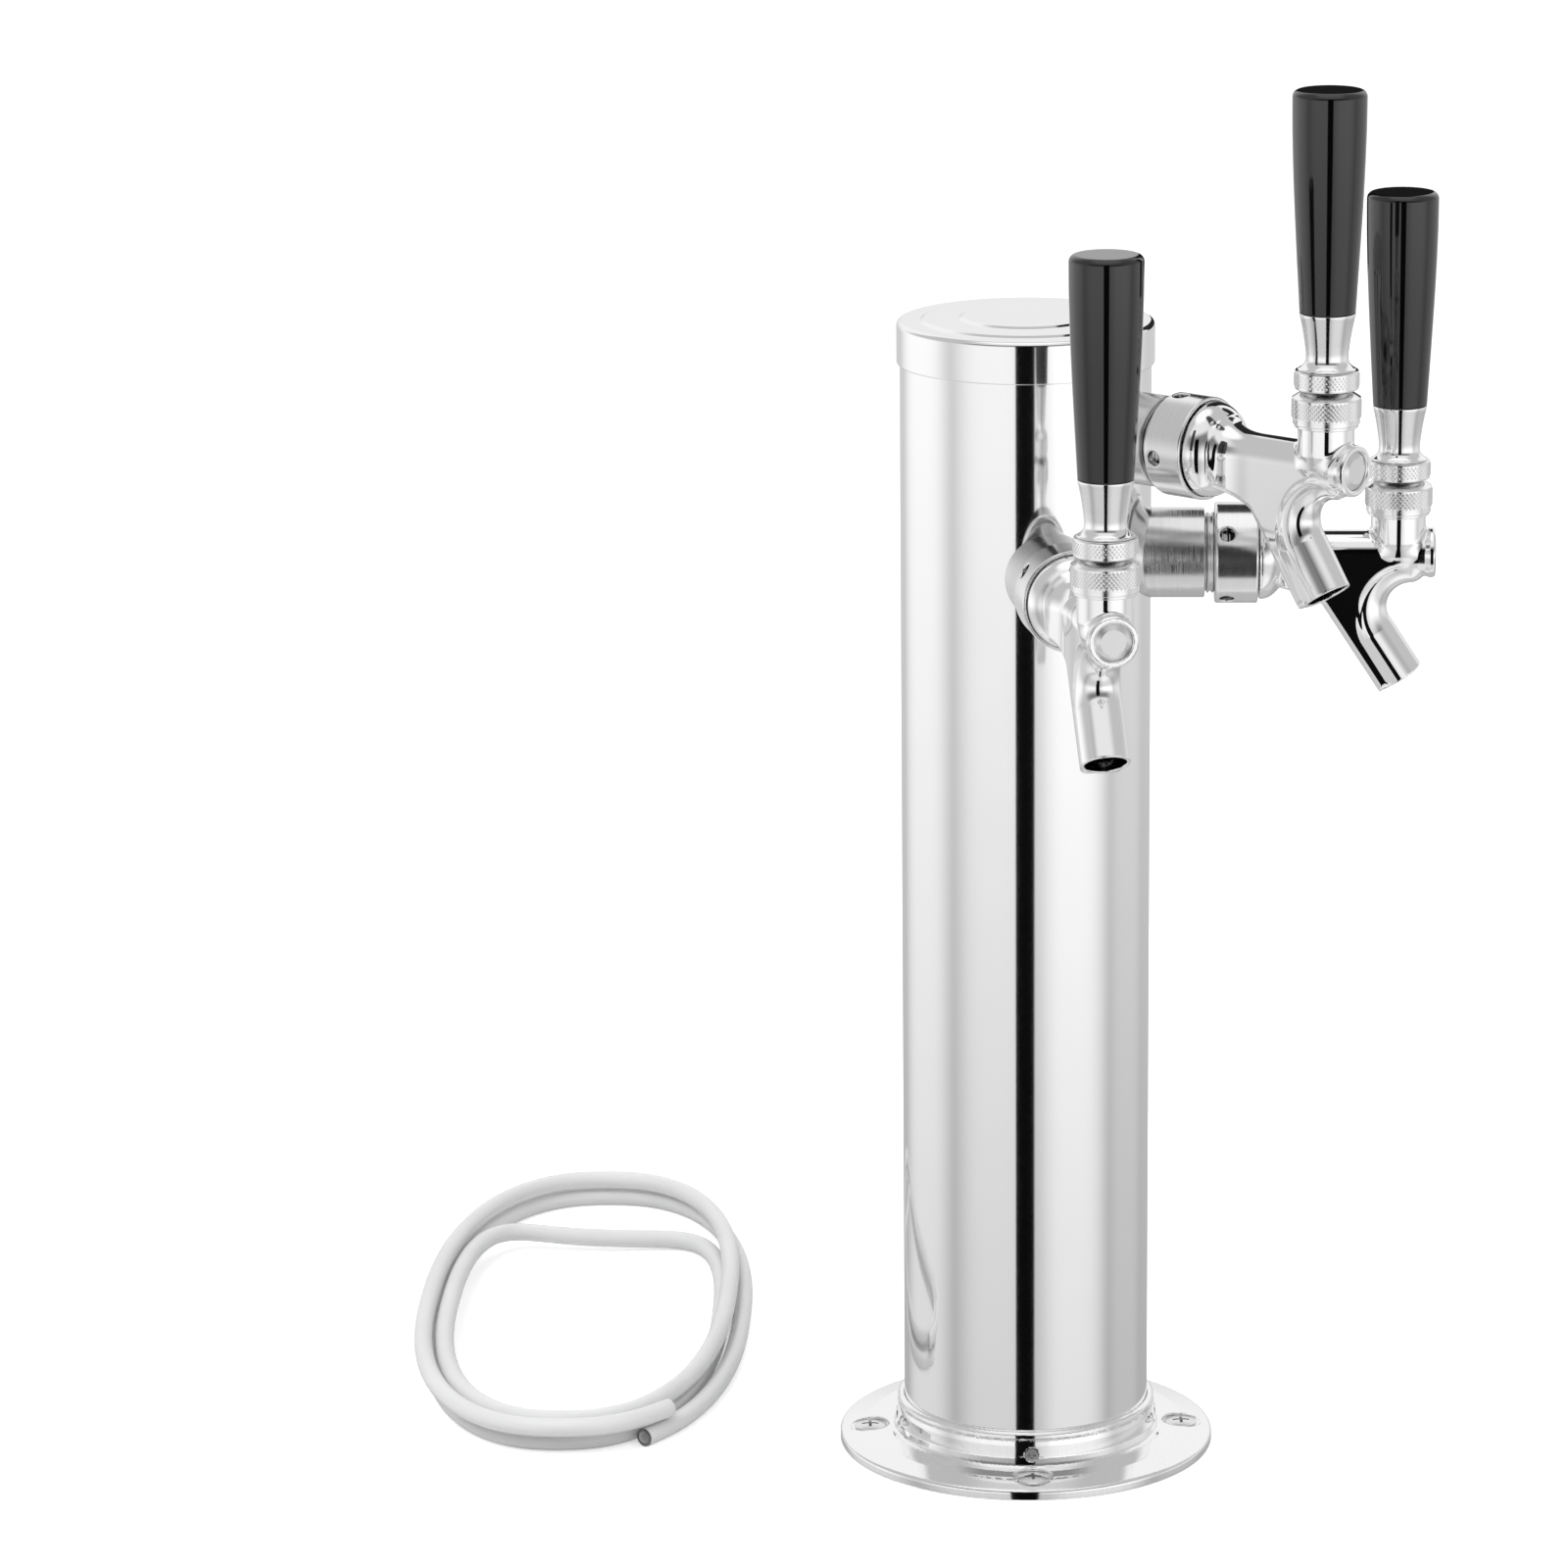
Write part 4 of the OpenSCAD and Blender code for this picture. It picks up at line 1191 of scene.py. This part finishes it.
@dataclass(kw_only=True)
class Faucet(TapPart):
    """The cast faucet body, in whose boss the shaft's round end shows.

    Args:
        cast: The body's surface, which all taps share.
    """

    cast: Shape

    def build(self) -> None:
        """Makes the body. The shaft's own solid shows as the button in its boss."""
        self.add("faucet", self.cast, BODY_CHROME, node="faucet_body")

    @classmethod
    def casting(cls, s: FaucetSizes) -> Shape:
        """Casts the body once for all taps.

        Args:
            s: The tap's sizes.

        Returns:
            The body's surface, in the tap's own frame.
        """
        lean, stop = math.radians(s.spout_lean), 180 + s.spout_lean
        down = np.array([math.sin(lean), 0, -math.cos(lean)])
        back = np.array([-math.cos(lean), 0, -math.sin(lean)])
        hook_end = np.array([s.hook_x, 0, s.hook_z]) + s.hook_reach * back
        mouth = hook_end + s.spout_len * down
        reach = s.hook_reach - s.hook_tighter
        bend = hook_end - reach * back
        hook, way = (Form.hook(bend[::2], reach, (radius - s.hook_thinner, radius), stop)
                     for radius in (s.spout_r, s.hook_bore_r))
        spout = Form.rod(hook_end - 0.35 * down, mouth, s.spout_r, 0.35)
        corner = mouth + (s.spout_r + 0.3) * back
        edge_top = corner - s.web_len * down
        root = (s.dome_back + 0.45 * s.dome_len, s.web_root)
        rim = curve(root, (edge_top - 2.1 * down)[::2], edge_top[::2], 24)
        turns = np.radians(np.linspace(stop, 90, 40))
        arc = bend[::2] + (reach + 0.6) * np.stack([np.cos(turns), np.sin(turns)], 1)
        foot = (corner - 0.1 * down)[::2], (mouth + 0.6 * back - 0.1 * down)[::2]
        roof = s.barrel_r + 4
        edge = [(s.dome_back + 5, roof), *[p[:2] for p in rim], *foot, *arc, (s.neck_reach, roof)]
        web = Form.web(edge, s.barrel_r, 0.012, 8.0, 1.9, (s.dome_back + 21, 14.0, 3.2))
        dome, boss, neck = cls._turned_forms(s)
        body = dome.join(web, 1.6).join(boss).join(hook.join(spout), 0.6).join(neck, 1.5)
        bore = Form.rod(hook_end - 1.5 * down, mouth + 3 * down, s.spout_bore_r)
        cuts = Form.ball((s.neck_reach, 0, s.ball_z), s.ball_r + 0.08).join(way.join(bore))
        slot = s.neck_reach - s.slot_back
        for start, end, radius in (
                ((60, 0, 0), (75, 0, 0), s.inlet_bore_r),
                ((70, 0, 0), (s.boss_front, 0, 0), s.seat_bore_r),
                ((s.neck_reach - 4, 0, 0), (s.boss_front + 3, 0, 0), s.piston_r + 0.08),
                ((s.neck_reach, 0, 5), (s.neck_reach, 0, 26), s.neck_bore_r),
                ((slot, 0, 0), (slot, 0, 7.6), s.slot_r)):
            cuts = cuts.join(Form.rod(start, end, radius))
        return body.cut(cuts, 0.4).skin((s.dome_back - 2.2, -15, -45), (s.boss_front + 0.8, 15, 15),
                                        0.365)

    @staticmethod
    def _turned_forms(s: FaucetSizes) -> tuple[Form, Form, Form]:
        """The casting's dome, boss and neck.

        Args:
            s: The tap's sizes.

        Returns:
            The three forms.
        """
        back, front, deep = s.dome_back, s.boss_front, -9
        crown = curve((back + 1.1, 14.2), (back + 4.4, 14.0), (back + 7.0, 10.0), 40)
        dome = Form.turned([
            (back - 1.6, deep), (back - 1.6, 9.9), (back, 9.9), (back, 13.5), (back + 0.15, 13.9),
            (back + 0.5, 14.15), *[p[:2] for p in crown], (back + 7.6, 8.6), (back + 7.9, 6.5),
            (back + 7.9, deep)], Axis.X)
        boss = Form.turned([
            (s.neck_reach - 4, deep), (s.neck_reach - 4, s.barrel_r), (front - 5.4, s.barrel_r),
            (front - 3.2, 7.1), (front - 1.8, s.boss_r), (front - 0.6, s.boss_r), (front, 7.1),
            (front, deep)], Axis.X)
        neck = Form.turned([
            (-3.0, deep), (-3.0, 5.4), (0.0, 7.6), (4.0, s.neck_r), (s.bonnet_seat, s.neck_r),
            (s.bonnet_seat, 7.9), (14.2, 7.9), (14.2, deep)], Axis.Z, s.neck_reach)
        return dome, boss, neck


@dataclass(kw_only=True)
class Head(TapPart):
    """The knurled bonnet, and what tilts above it: collar, ferrule and handle."""

    knurl: "Knurl"
    segments: int = 128

    @property
    def origin(self) -> Matrix:
        """From millimetres on the neck's axis to the row's metres."""
        return self.place.matrix @ Matrix.Translation((self.sizes.neck_reach, 0, 0))

    def build(self) -> None:
        """Makes the four turned pieces and the two knurled bands."""
        s, lever = self.sizes, self.place.lever
        self.add("bonnet", self.bonnet(), KNURL_CHROME)
        self.add("lever_collar", self.collar(), KNURL_CHROME, lever)
        self.add("ferrule", self.ferrule(), FERRULE_CHROME, lever)
        self.add("handle", self.handle(), BLACK_HANDLE, lever)
        for name, radius, low, high, body in (
                ("bonnet", s.bonnet_r, 14.6, 20.5, TOWER),
                ("lever_collar", s.collar_r, s.collar_foot + 0.5, s.collar_head - 0.5, lever)):
            label = f"{self.place.side.value}_{name}_knurl"
            mesh = self.knurl.band(label, radius, low, high, self.origin)
            add_piece(mesh.name, mesh, KNURL_CHROME, body)

    def _ring(self, corners: Sequence[Corner], steps: int = 4) -> Shape:
        """Turns a closed outline about the neck's axis."""
        return Outline(corners, closed=True, steps=steps).turned(self.segments, Axis.Z)

    def bonnet(self) -> Shape:
        """The ring nut over the neck.

        Returns:
            The bonnet.
        """
        s = self.sizes
        foot, top = s.bonnet_seat + s.gap, s.bonnet_top
        knurl_r = s.bonnet_r - self.knurl.depth
        return self._ring([
            (foot, s.bonnet_bore_r, 0.1), (foot, 9.4, 0.2), (foot + 0.95, 9.4, 0.15),
            (foot + 0.95, 9.8, 0.2), (foot + 2.35, 9.8, 0.15), (foot + 2.35, knurl_r, 0.1),
            (top - 1.9, knurl_r, 0.1), (top - 1.8, s.bonnet_r - 0.15, 0.15), (top, 7.4, 0.3),
            (top, 6.6, 0.2), (s.ball_z + 3.5, 5.2, 0.1), (s.ball_z + 2.0, s.bonnet_bore_r, 0.1)])

    def collar(self) -> Shape:
        """The knurled collar, dished below so that it clears the bonnet.

        Returns:
            The collar.
        """
        s = self.sizes
        foot, head, knurl_r = s.collar_foot, s.collar_head, s.collar_r - self.knurl.depth + 0.1
        return self._ring([
            (foot + 2.0, s.stem_bore_r, 0.1), (foot + 2.0, 8.5, 0.3), (foot, 8.5, 0.15), (foot, 9.3, 0.2),
            (foot + 0.45, knurl_r, 0.1), (head - 0.45, knurl_r, 0.1), (head, 9.2, 0.2),
            (head, s.stem_bore_r, 0.1)])

    def ferrule(self) -> Shape:
        """The waisted ferrule.

        Returns:
            The ferrule.
        """
        s = self.sizes
        foot, top = s.collar_head + s.gap, s.ferrule_top
        flare = curve((foot + 0.35, 8.45), (foot + 1.5, 6.3), (foot + 3.2, 6.2), 8)
        rise = curve((foot + 4.6, 6.2), (foot + 0.62 * (top - foot), 6.75), (top - 0.2, 8.2), 10)
        return self._ring([
            (foot, s.stem_bore_r, 0.1), (foot, 8.5, 0.1), *flare, *rise, (top, 8.15, 0.1),
            (top, 5.6, 0.1), (top - 8, 5.6, 0.1), (top - 8, s.stem_bore_r, 0.1)], 3)

    def handle(self) -> Shape:
        """The tapered black handle.

        Returns:
            The handle.
        """
        s = self.sizes
        foot, high = s.ferrule_top + s.gap, s.handle_top - s.ferrule_top
        side = [(foot + t * high, s.handle_low_r + s.handle_rise * g, 0.0) for t, g in (
            (0.05, 0.07), (0.12, 0.17), (0.2, 0.285), (0.3, 0.42), (0.4, 0.555), (0.5, 0.68),
            (0.6, 0.795), (0.7, 0.885), (0.82, 0.965), (0.9, 0.99))]
        return Outline([
            (foot - 7.9, 0, 0), (foot - 7.9, 5.5, 0.2), (foot, 5.5, 0.1), (foot, s.handle_low_r, 0.45),
            *side, (s.handle_top, s.handle_low_r + s.handle_rise, 2.0), (s.handle_top, 0, 0)],
            steps=8).turned(self.segments, Axis.Z)


@dataclass
class Knurl:
    """Diamond knurling: small pyramids side by side round a band, set out by Geometry Nodes.

    Args:
        pitch: Width of one diamond.
        tall: Height of one diamond.
        depth: How far a diamond stands out of its band.
        root: How far its foot is sunk into the band.
    """

    pitch: float = 1.3
    tall: float = 1.5
    depth: float = 0.42
    root: float = 0.05
    sockets: dict[str, str] = field(init=False, default_factory=dict)
    tree: bpy.types.NodeTree = field(init=False)

    def __post_init__(self) -> None:
        """Builds the pattern's tree, with a named input for each size."""
        self.tree = bpy.data.node_groups.new("diamond_knurl", "GeometryNodeTree")
        face = self.tree.interface
        face.new_socket("Geometry", in_out="INPUT", socket_type="NodeSocketGeometry")
        for label, kind, value in (
                ("Around", "Int", 48), ("Rows", "Int", 9), ("Radius", "Float", 10.0),
                ("Low", "Float", 0.0), ("Tall", "Float", 1.5), ("Depth", "Float", 0.3)):
            socket = face.new_socket(label, in_out="INPUT", socket_type=f"NodeSocket{kind}")
            socket.default_value = value
            self.sockets[label] = socket.identifier
        face.new_socket("Geometry", in_out="OUTPUT", socket_type="NodeSocketGeometry")
        board = Board(self.tree)
        start = board.node("NodeGroupInput")
        around, rows, radius, low, tall, depth = (start.out(label) for label in self.sockets)
        number = board.node("GeometryNodeInputIndex")
        row = (number / around).floor()
        turn = (number % around + 0.5 * (row % 2.0)) * (2 * math.pi) / around
        spot = board.vector(radius * turn.cos(), radius * turn.sin(), low + (row + 1.0) * tall * 0.5)
        points = board.node("GeometryNodePoints", {"Count": around * rows, "Position": spot})
        diamond = board.node("GeometryNodeMeshCone", {
            "Vertices": 4, "Radius Top": 0.0, "Radius Bottom": 1.0, "Depth": 1.0},
            "Mesh", fill_type="NGON")
        facing = board.node("FunctionNodeEulerToRotation", {0: board.vector(0.0, math.pi / 2, turn)})
        copies = board.node("GeometryNodeInstanceOnPoints", {
            "Points": points, "Instance": diamond, "Rotation": facing,
            "Scale": board.vector(tall * 0.5, radius * math.pi / around, depth)})
        real = board.node("GeometryNodeRealizeInstances", {0: copies})
        dressed = board.node("GeometryNodeSetMaterial",
                             {"Geometry": real, "Material": KNURL_CHROME.material()})
        board.node("NodeGroupOutput", {"Geometry": dressed})

    def band(self, name: str, radius: float, low: float, high: float, place: Matrix) -> bpy.types.Mesh:
        """Makes one band.

        Args:
            name: The mesh's name.
            radius: Radius over the diamonds' points.
            low: Where the band starts.
            high: Where it ends.
            place: From the band's millimetres to the row's metres.

        Returns:
            The band's mesh, in place.
        """
        rows = round(2 * (high - low) / self.tall) - 1
        sunk = self.depth + self.root
        seed = bpy.data.meshes.new("seed")
        carrier = add_object(name, seed)
        modifier = carrier.modifiers.new(name, "NODES")
        modifier.node_group = self.tree
        sizes = {"Around": round(2 * math.pi * radius / self.pitch), "Rows": rows,
                 "Radius": radius - sunk, "Low": low, "Tall": 2 * (high - low) / (rows + 1), "Depth": sunk}
        for label, value in sizes.items():
            modifier[self.sockets[label]] = value
        bpy.context.view_layer.update()
        graph = bpy.context.evaluated_depsgraph_get()
        made = bpy.data.meshes.new_from_object(carrier.evaluated_get(graph))
        carrier.modifiers.remove(modifier)
        bpy.data.objects.remove(carrier)
        bpy.data.meshes.remove(seed)
        made.name = name
        made.transform(place)
        return made


@dataclass
class Column:
    """The column, its lid and the base with countersinks for its screws."""

    column_r: float = 38.1
    wall: float = 1.2
    foot: float = 3.0
    top: float = 354.5
    flange_r: float = 58.4
    flange_edge: float = 3.5
    collar_top: float = 15.4
    screw_reach: float = 49.0
    screw_count: int = 4
    screw_turn: float = -48.0
    segments: int = 256

    def build(self) -> None:
        """Makes the tube, the lid and the base, with countersinks for its screws."""
        bore_r = self.column_r - self.wall
        tube = Outline([(self.foot, bore_r, 0.2), (self.foot, self.column_r, 0.2),
                        (self.top, self.column_r, 0.3), (self.top, bore_r, 0.3)], closed=True)
        for name, shape, finish, body, node in (
                ("column_look", tube.turned(self.segments, Axis.Z), COLUMN_STEEL, TOWER, "column"),
                ("lid_look", self.lid().turned(self.segments, Axis.Z), CAP_STEEL, "cap", "top_cap"),
                ("base_look", self.base(), BASE_STEEL, TOWER, "base_flange")):
            add_piece(name, shape.moved(Matrix.Scale(MM, 4)).mesh(name), finish, body, [node])

    def lid(self) -> Outline:
        """The lid, with its skirt, rounded shoulder and two low steps.

        Returns:
            The lid's outline.
        """
        bore, out = self.column_r + 0.08, self.column_r + 0.98
        under, skirt = self.top + 0.2, 344.1
        roof, step = under + 2.2, 0.6
        rings = (0.8 * out, 0.5 * out)
        return Outline([
            (under, 0, 0), (under, bore, 0.2), (skirt, bore, 0.1), (skirt, out, 0.35), (roof, out, 1.5),
            (roof, rings[0] + 0.8, 0.7), (roof + step, rings[0] - 0.6, 0.8),
            (roof + step, rings[1] + 0.8, 0.7), (roof + 2 * step, rings[1] - 0.6, 0.8),
            (roof + 2 * step, 0, 0)], steps=8)

    def base(self) -> Shape:
        """The flange and its collar, with countersinks for the screws.

        Returns:
            The base.
        """
        edge, fillet = self.flange_edge, 1.1
        ring = [(0.0, 34.0), (0.0, 58.1), (0.4, self.flange_r), (edge - fillet, self.flange_r)]
        bend = [(edge - fillet + fillet * math.sin(t), self.flange_r - fillet + fillet * math.cos(t))
                for t in np.linspace(0.3, math.pi / 2, 5)]
        slope = [(4.6, 50.0), (4.95, 43.5), (4.75, 42.2), (4.9, 41.3), (5.6, 41.0), (7.2, 40.55),
                 (11.2, 40.4), (12.7, 40.25), (13.1, 39.9), (13.5, 40.15), (14.6, 40.1), (15.2, 39.6),
                 (15.4, 39.0), (15.2, 38.3), (15.0, 38.15), (3.0, 38.15), (3.0, 34.0)]
        solid = Form.turned([*ring, *bend, *slope], Axis.Z)
        for i in range(self.screw_count):
            angle = math.radians(self.screw_turn - 90 + 360 / self.screw_count * i)
            out = np.array([math.cos(angle), math.sin(angle), 0])
            at, set_screw = out * self.screw_reach, (0, 0, 8.4)
            for start, end, radius, soft in (
                    (at + (0, 0, edge), at + (0, 0, 20), 6.0, 0.35),
                    (at - (0, 0, 2), at + (0, 0, 6), 2.5, 0.2),
                    (out * 37 + set_screw, out * 44 + set_screw, 2.1, 0.15)):
                solid = solid.cut(Form.rod(start, end, radius), soft)
        reach = self.flange_r + 0.8
        return solid.skin((-reach, -reach, -0.9), (reach, reach, self.collar_top + 0.8),
                          0.55)


@dataclass
class Hose:
    """The loose coil of beer line that lies beside the tower."""

    radius: float = 3.0
    bore_r: float = 2.0
    loops: int = 3
    half_w: float = 53.5
    half_l: float = 128.0
    step: float = 7.0
    centre: tuple[float, float] = (-10.0, 181.0)
    turn: float = -50.7
    square: float = 2.4
    fan: float = 44.0
    first: float = -60.0
    rings: int = 96
    sides: int = 20

    def middle(self, q: float) -> np.ndarray:
        """The line's middle at share q of the coil, in the coil's own frame.

        Args:
            q: Share of the way, from 0 to 1.

        Returns:
            The point, in millimetres.
        """
        layer = 2 * self.radius + 0.5
        angle = self.first + 360 * self.loops * q
        inset = self.step * self.loops / 2 * (1 - abs(2 * q - 1))
        far_middle = 90 + 360 * round((self.first + 180 * self.loops - 90) / 360)
        cos, sin = math.cos(math.radians(angle)), math.sin(math.radians(angle))
        far = self.fan * sin * sin if abs(angle - far_middle) < 90 else 0.0
        power = 2 / self.square
        t = min(1.0, max(0.0, (q - 0.5) * 2 * self.loops + 0.5))
        return np.array([
            (self.half_w - inset) * math.copysign(abs(cos) ** power, cos),
            (self.half_l - inset - far) * math.copysign(abs(sin) ** power, sin),
            self.radius + layer * (3 * t * t - 2 * t * t * t)])

    def route(self) -> np.ndarray:
        """Puts the whole line, with its straight ends, in the row's frame.

        Returns:
            The line's points, in metres.
        """
        count = self.loops * self.rings
        path = [self.middle(i / count) for i in range(count + 1)]
        for a, b, at in ((0, 1, 0), (-1, -2, len(path) + 1)):
            way = path[a] - path[b]
            path.insert(at, path[a] + 2 * self.radius * way / np.linalg.norm(way))
        return placed(np.array(path), Matrix.Scale(MM, 4) @ Matrix.Translation((*self.centre, 0))
                      @ Matrix.Rotation(math.radians(self.turn), 4, "Z"))

    def build(self) -> None:
        """Makes the hose with its wall and its open ends."""
        path = self.route()
        mesh = self.swept(path).mesh("beer_line_look")
        piece = add_piece(mesh.name, mesh, CLEAR_HOSE, TOWER, ["beer_line"])
        tuple(path[0])

    def swept(self, path: np.ndarray) -> Shape:
        """Sweeps the wall along the path.

        Args:
            path: The line's middle, in metres.

        Returns:
            Outer wall, inner wall and the two end faces as one closed shape.
        """
        way = np.gradient(path, axis=0)
        way /= np.linalg.norm(way, axis=1)[:, None]
        side = np.cross(way, (0, 0, 1))
        side /= np.linalg.norm(side, axis=1)[:, None]
        up = np.cross(side, way)
        run = np.concatenate([[0], np.cumsum(np.linalg.norm(np.diff(path, axis=0), axis=1))]) / MM
        angle = 2 * math.pi * np.arange(self.sides) / self.sides
        around = side[:, None] * np.cos(angle)[:, None] + up[:, None] * np.sin(angle)[:, None]
        points, normals, grain = [], [], []
        for radius, sign in ((self.radius, 1), (self.bore_r, -1)):
            order = slice(None, None, sign)
            points.append((path[:, None] + around * radius * MM)[order].reshape(-1, 3))
            normals.append((around * sign)[order].reshape(-1, 3))
            grain.append(np.stack([np.repeat(run[order], self.sides), np.tile(angle * radius, len(path)),
                                   np.full(len(path) * self.sides, radius)], 1))
        return Shape(np.vstack(points), ring_faces(2 * len(path), self.sides), np.vstack(normals),
                     np.vstack(grain))


@dataclass(frozen=True)
class Glow:
    """A soft light patch of the studio, as metal sees it.

    Args:
        azimuth: Where it is, in degrees to the right of the camera as seen from the tower.
        width: Half of its width, in degrees.
        level: How much light it adds.
    """

    azimuth: float
    width: float
    level: float


@dataclass
class Studio:
    """Camera, light, floor and surroundings.

    The camera comes from a fit to the rings of base, cap and taps in the
    photograph, which is taken as 1600 by 1600 pixels.
    """

    side_px: float = 1600.0
    axis_px: float = 1046.5
    focal_px: float = 6522.0
    distance: float = 1.904
    height: float = 0.701
    azimuth: float = -50.7
    pitch: float = 14.4
    sensor: float = 36.0
    strip: tuple[float, float] = (-8.7, 7.4)
    glows: tuple[Glow, ...] = (
        Glow(-110, 42, 0.38), Glow(-28, 46, 0.32), Glow(46, 42, 0.48), Glow(110, 28, 0.12))
    base_level: float = 0.6
    flag_back: float = 0.1
    flag_box: tuple[float, float, float, float] = (0.045, 0.135, 0.352, 0.54)

    def towards(self, aside: float = 0.0, rise: float = 0.0) -> Vector:
        """The way from the tower to a spot aside of the camera and up, in degrees."""
        turn, up = math.radians(self.azimuth + aside), math.radians(rise)
        return Vector((math.sin(turn) * math.cos(up), -math.cos(turn) * math.cos(up), math.sin(up)))

    @staticmethod
    def aimed(spot: Vector, way: Vector) -> Matrix:
        """Puts a camera or lamp at a spot and aims it."""
        return Matrix.Translation(spot) @ way.to_track_quat("-Z", "Y").to_matrix().to_4x4()

    def camera(self) -> None:
        """Sets the camera where the photograph was taken from."""
        data = bpy.data.cameras.new("photo_camera")
        data.sensor_width = self.sensor
        data.lens = self.focal_px / self.side_px * self.sensor
        camera = add_object("photo_camera", data)
        aside = math.atan((self.axis_px - self.side_px / 2) / self.focal_px)
        spot = self.towards() * self.distance + Vector((0, 0, self.height))
        camera.matrix_world = (self.aimed(spot, -self.towards(rise=self.pitch))
                               @ Matrix.Rotation(aside, 4, "Y"))
        bpy.context.scene.camera = camera

    def world(self) -> None:
        """Builds the surroundings: white to the camera, soft patches to metal."""
        world = bpy.data.worlds.new("studio")
        bpy.context.scene.world = world
        world.use_nodes = True
        board = Board(world.node_tree)
        x, y, z = board.parts(board.node("ShaderNodeTexCoord", out="Generated"))
        turn = math.radians(self.azimuth)
        front = x * math.sin(turn) - y * math.cos(turn)
        right = x * math.cos(turn) + y * math.sin(turn)
        flat = (front * front + right * right + 1e-6).sqrt()
        facing = front / flat
        level: Any = self.base_level
        for glow in self.glows:
            at = math.radians(glow.azimuth)
            near = (front * math.cos(at) + right * math.sin(at)) / flat
            level = level + glow.level * near.ramp(math.cos(math.radians(glow.width)), 1.0)
        degrees = 180 / math.pi
        rise, aside = z.arcsin() * degrees, right.arctan(front) * degrees
        level = level * (0.68 + 0.42 * rise.ramp(-24.0, -8.0) + 0.2 * rise.ramp(-34.0, -54.0))
        above = rise.ramp(-8.0, 20.0)
        high = 0.55 + facing.ramp(0.3, 0.85) * (0.62 * rise.ramp(28.0, 42.0) - 0.33)
        high = high + (0.95 - high) * facing.ramp(-0.5, -0.8) * (1 - rise.ramp(38.0, 50.0))
        high = high + (1.05 - high) * rise.ramp(60.0, 72.0)
        level = level * (1 - above) + high * above
        left, last = self.strip
        dark = aside.ramp(left - 0.6, left) * (1 - aside.ramp(last, last + 1.6))
        dark = dark * rise.ramp(-52.0, -44.0) * (1 - rise.ramp(24.0, 30.0))
        level = level * (1 - 0.995 * dark)
        path = board.node("ShaderNodeLightPath", out="Is Camera Ray")
        clear = path.atleast(path.out("Is Transmission Ray"))
        seen, white = (board.node("ShaderNodeBackground", {"Color": tone(1.0), "Strength": light})
                       for light in (level, 1.0))
        board.node("ShaderNodeOutputWorld", {"Surface": board.mix(clear, seen, white)})

    def lamps(self) -> None:
        """Adds two plain soft lamps, which metal doesn't see."""
        for name, aside, rise, reach, size, power in (
                ("key_lamp", -55.0, 50.0, 1.6, 1.0, 14.0), ("fill_lamp", 60.0, 35.0, 1.8, 1.2, 9.0)):
            data = bpy.data.lights.new(name, "AREA")
            data.energy, data.size = power, size
            lamp, way = add_object(name, data), self.towards(aside, rise)
            lamp.matrix_world = self.aimed(way * reach + Vector((0, 0, 0.2)), -way)
            lamp.visible_glossy = False

    def floor(self) -> None:
        """Adds the plain pale floor, which keeps the tower's shadow."""
        mesh = bpy.data.meshes.new("floor")
        made = bmesh.new()
        bmesh.ops.create_circle(made, cap_ends=True, radius=6.0, segments=96)
        made.to_mesh(mesh)
        made.free()
        floor = add_object("floor", mesh)
        mesh.materials.append(new_material("floor_white", self.floor_paint))
        floor.visible_glossy = False

    @staticmethod
    def floor_paint(board: Board) -> Wire:
        """Matte white, which gives some light of its own to the camera alone.

        Args:
            board: The board that its nodes go on.

        Returns:
            The floor's shader.
        """
        matte = board.node("ShaderNodeBsdfDiffuse", {"Color": tone(0.82)})
        path = board.node("ShaderNodeLightPath", out="Is Camera Ray")
        glow = board.mix(path, board.emission(0.0, 0.0), board.emission(1.0, 0.5))
        return board.node("ShaderNodeAddShader", {0: matte, 1: glow})

    def flag(self) -> None:
        """Adds the black card behind the taps, which only metal sees."""
        back, right = self.towards() * -self.flag_back, self.towards(90.0)
        left, far, low, top = self.flag_box
        mesh = bpy.data.meshes.new("flag")
        mesh.from_pydata([right * aside + Vector((0, 0, z)) + back
                          for aside, z in ((left, low), (far, low), (far, top), (left, top))],
                         [], [range(4)])
        mesh.materials.append(new_material("flag_black", lambda board: board.emission(0.02, 1.0)))
        flag = add_object("flag", mesh)
        flag.visible_camera = flag.visible_shadow = False
        flag.visible_diffuse = flag.visible_transmission = False

    def build(self) -> None:
        """Sets the whole stage."""
        self.camera()
        self.world()
        self.lamps()
        self.floor()
        self.flag()
        bpy.context.scene.view_settings.view_transform = "Standard"


INNER_FINISHES: dict[str, Finish] = {
    **dict.fromkeys(("clamp_washer", "lock_nut", "tail_nut", "tail_elbow"), PLAIN_STEEL),
    **dict.fromkeys(("coupling_washer", "seat_washer"), SEAL_RUBBER),
    "ball_washer": BLACK_NYLON, "shaft": BUTTON_STEEL, "lever": SCREW_STEEL}


def main() -> None:
    """Builds the stage, the tower and its taps in order."""
    logging.basicConfig(level=logging.INFO, format="%(name)s: %(message)s")
    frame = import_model()
    Studio().build()
    Hose().build()
    Column().build()
    for node in ("flange_screws", "collar_screws"):
        dress_node(frame, node, SCREW_STEEL)
    sizes = FaucetSizes()
    cast = Faucet.casting(sizes)
    knurl = Knurl()
    for place in tap_places(frame, sizes):
        tap = {"place": place, "sizes": sizes}
        for part in (Coupling(**tap), Faucet(**tap, cast=cast), Head(**tap, knurl=knurl)):
            part.build()
        for node, finish in INNER_FINISHES.items():
            dress_node(frame, f"{place.side.value}_{node}", finish)


if __name__ == "__main__":
    main()
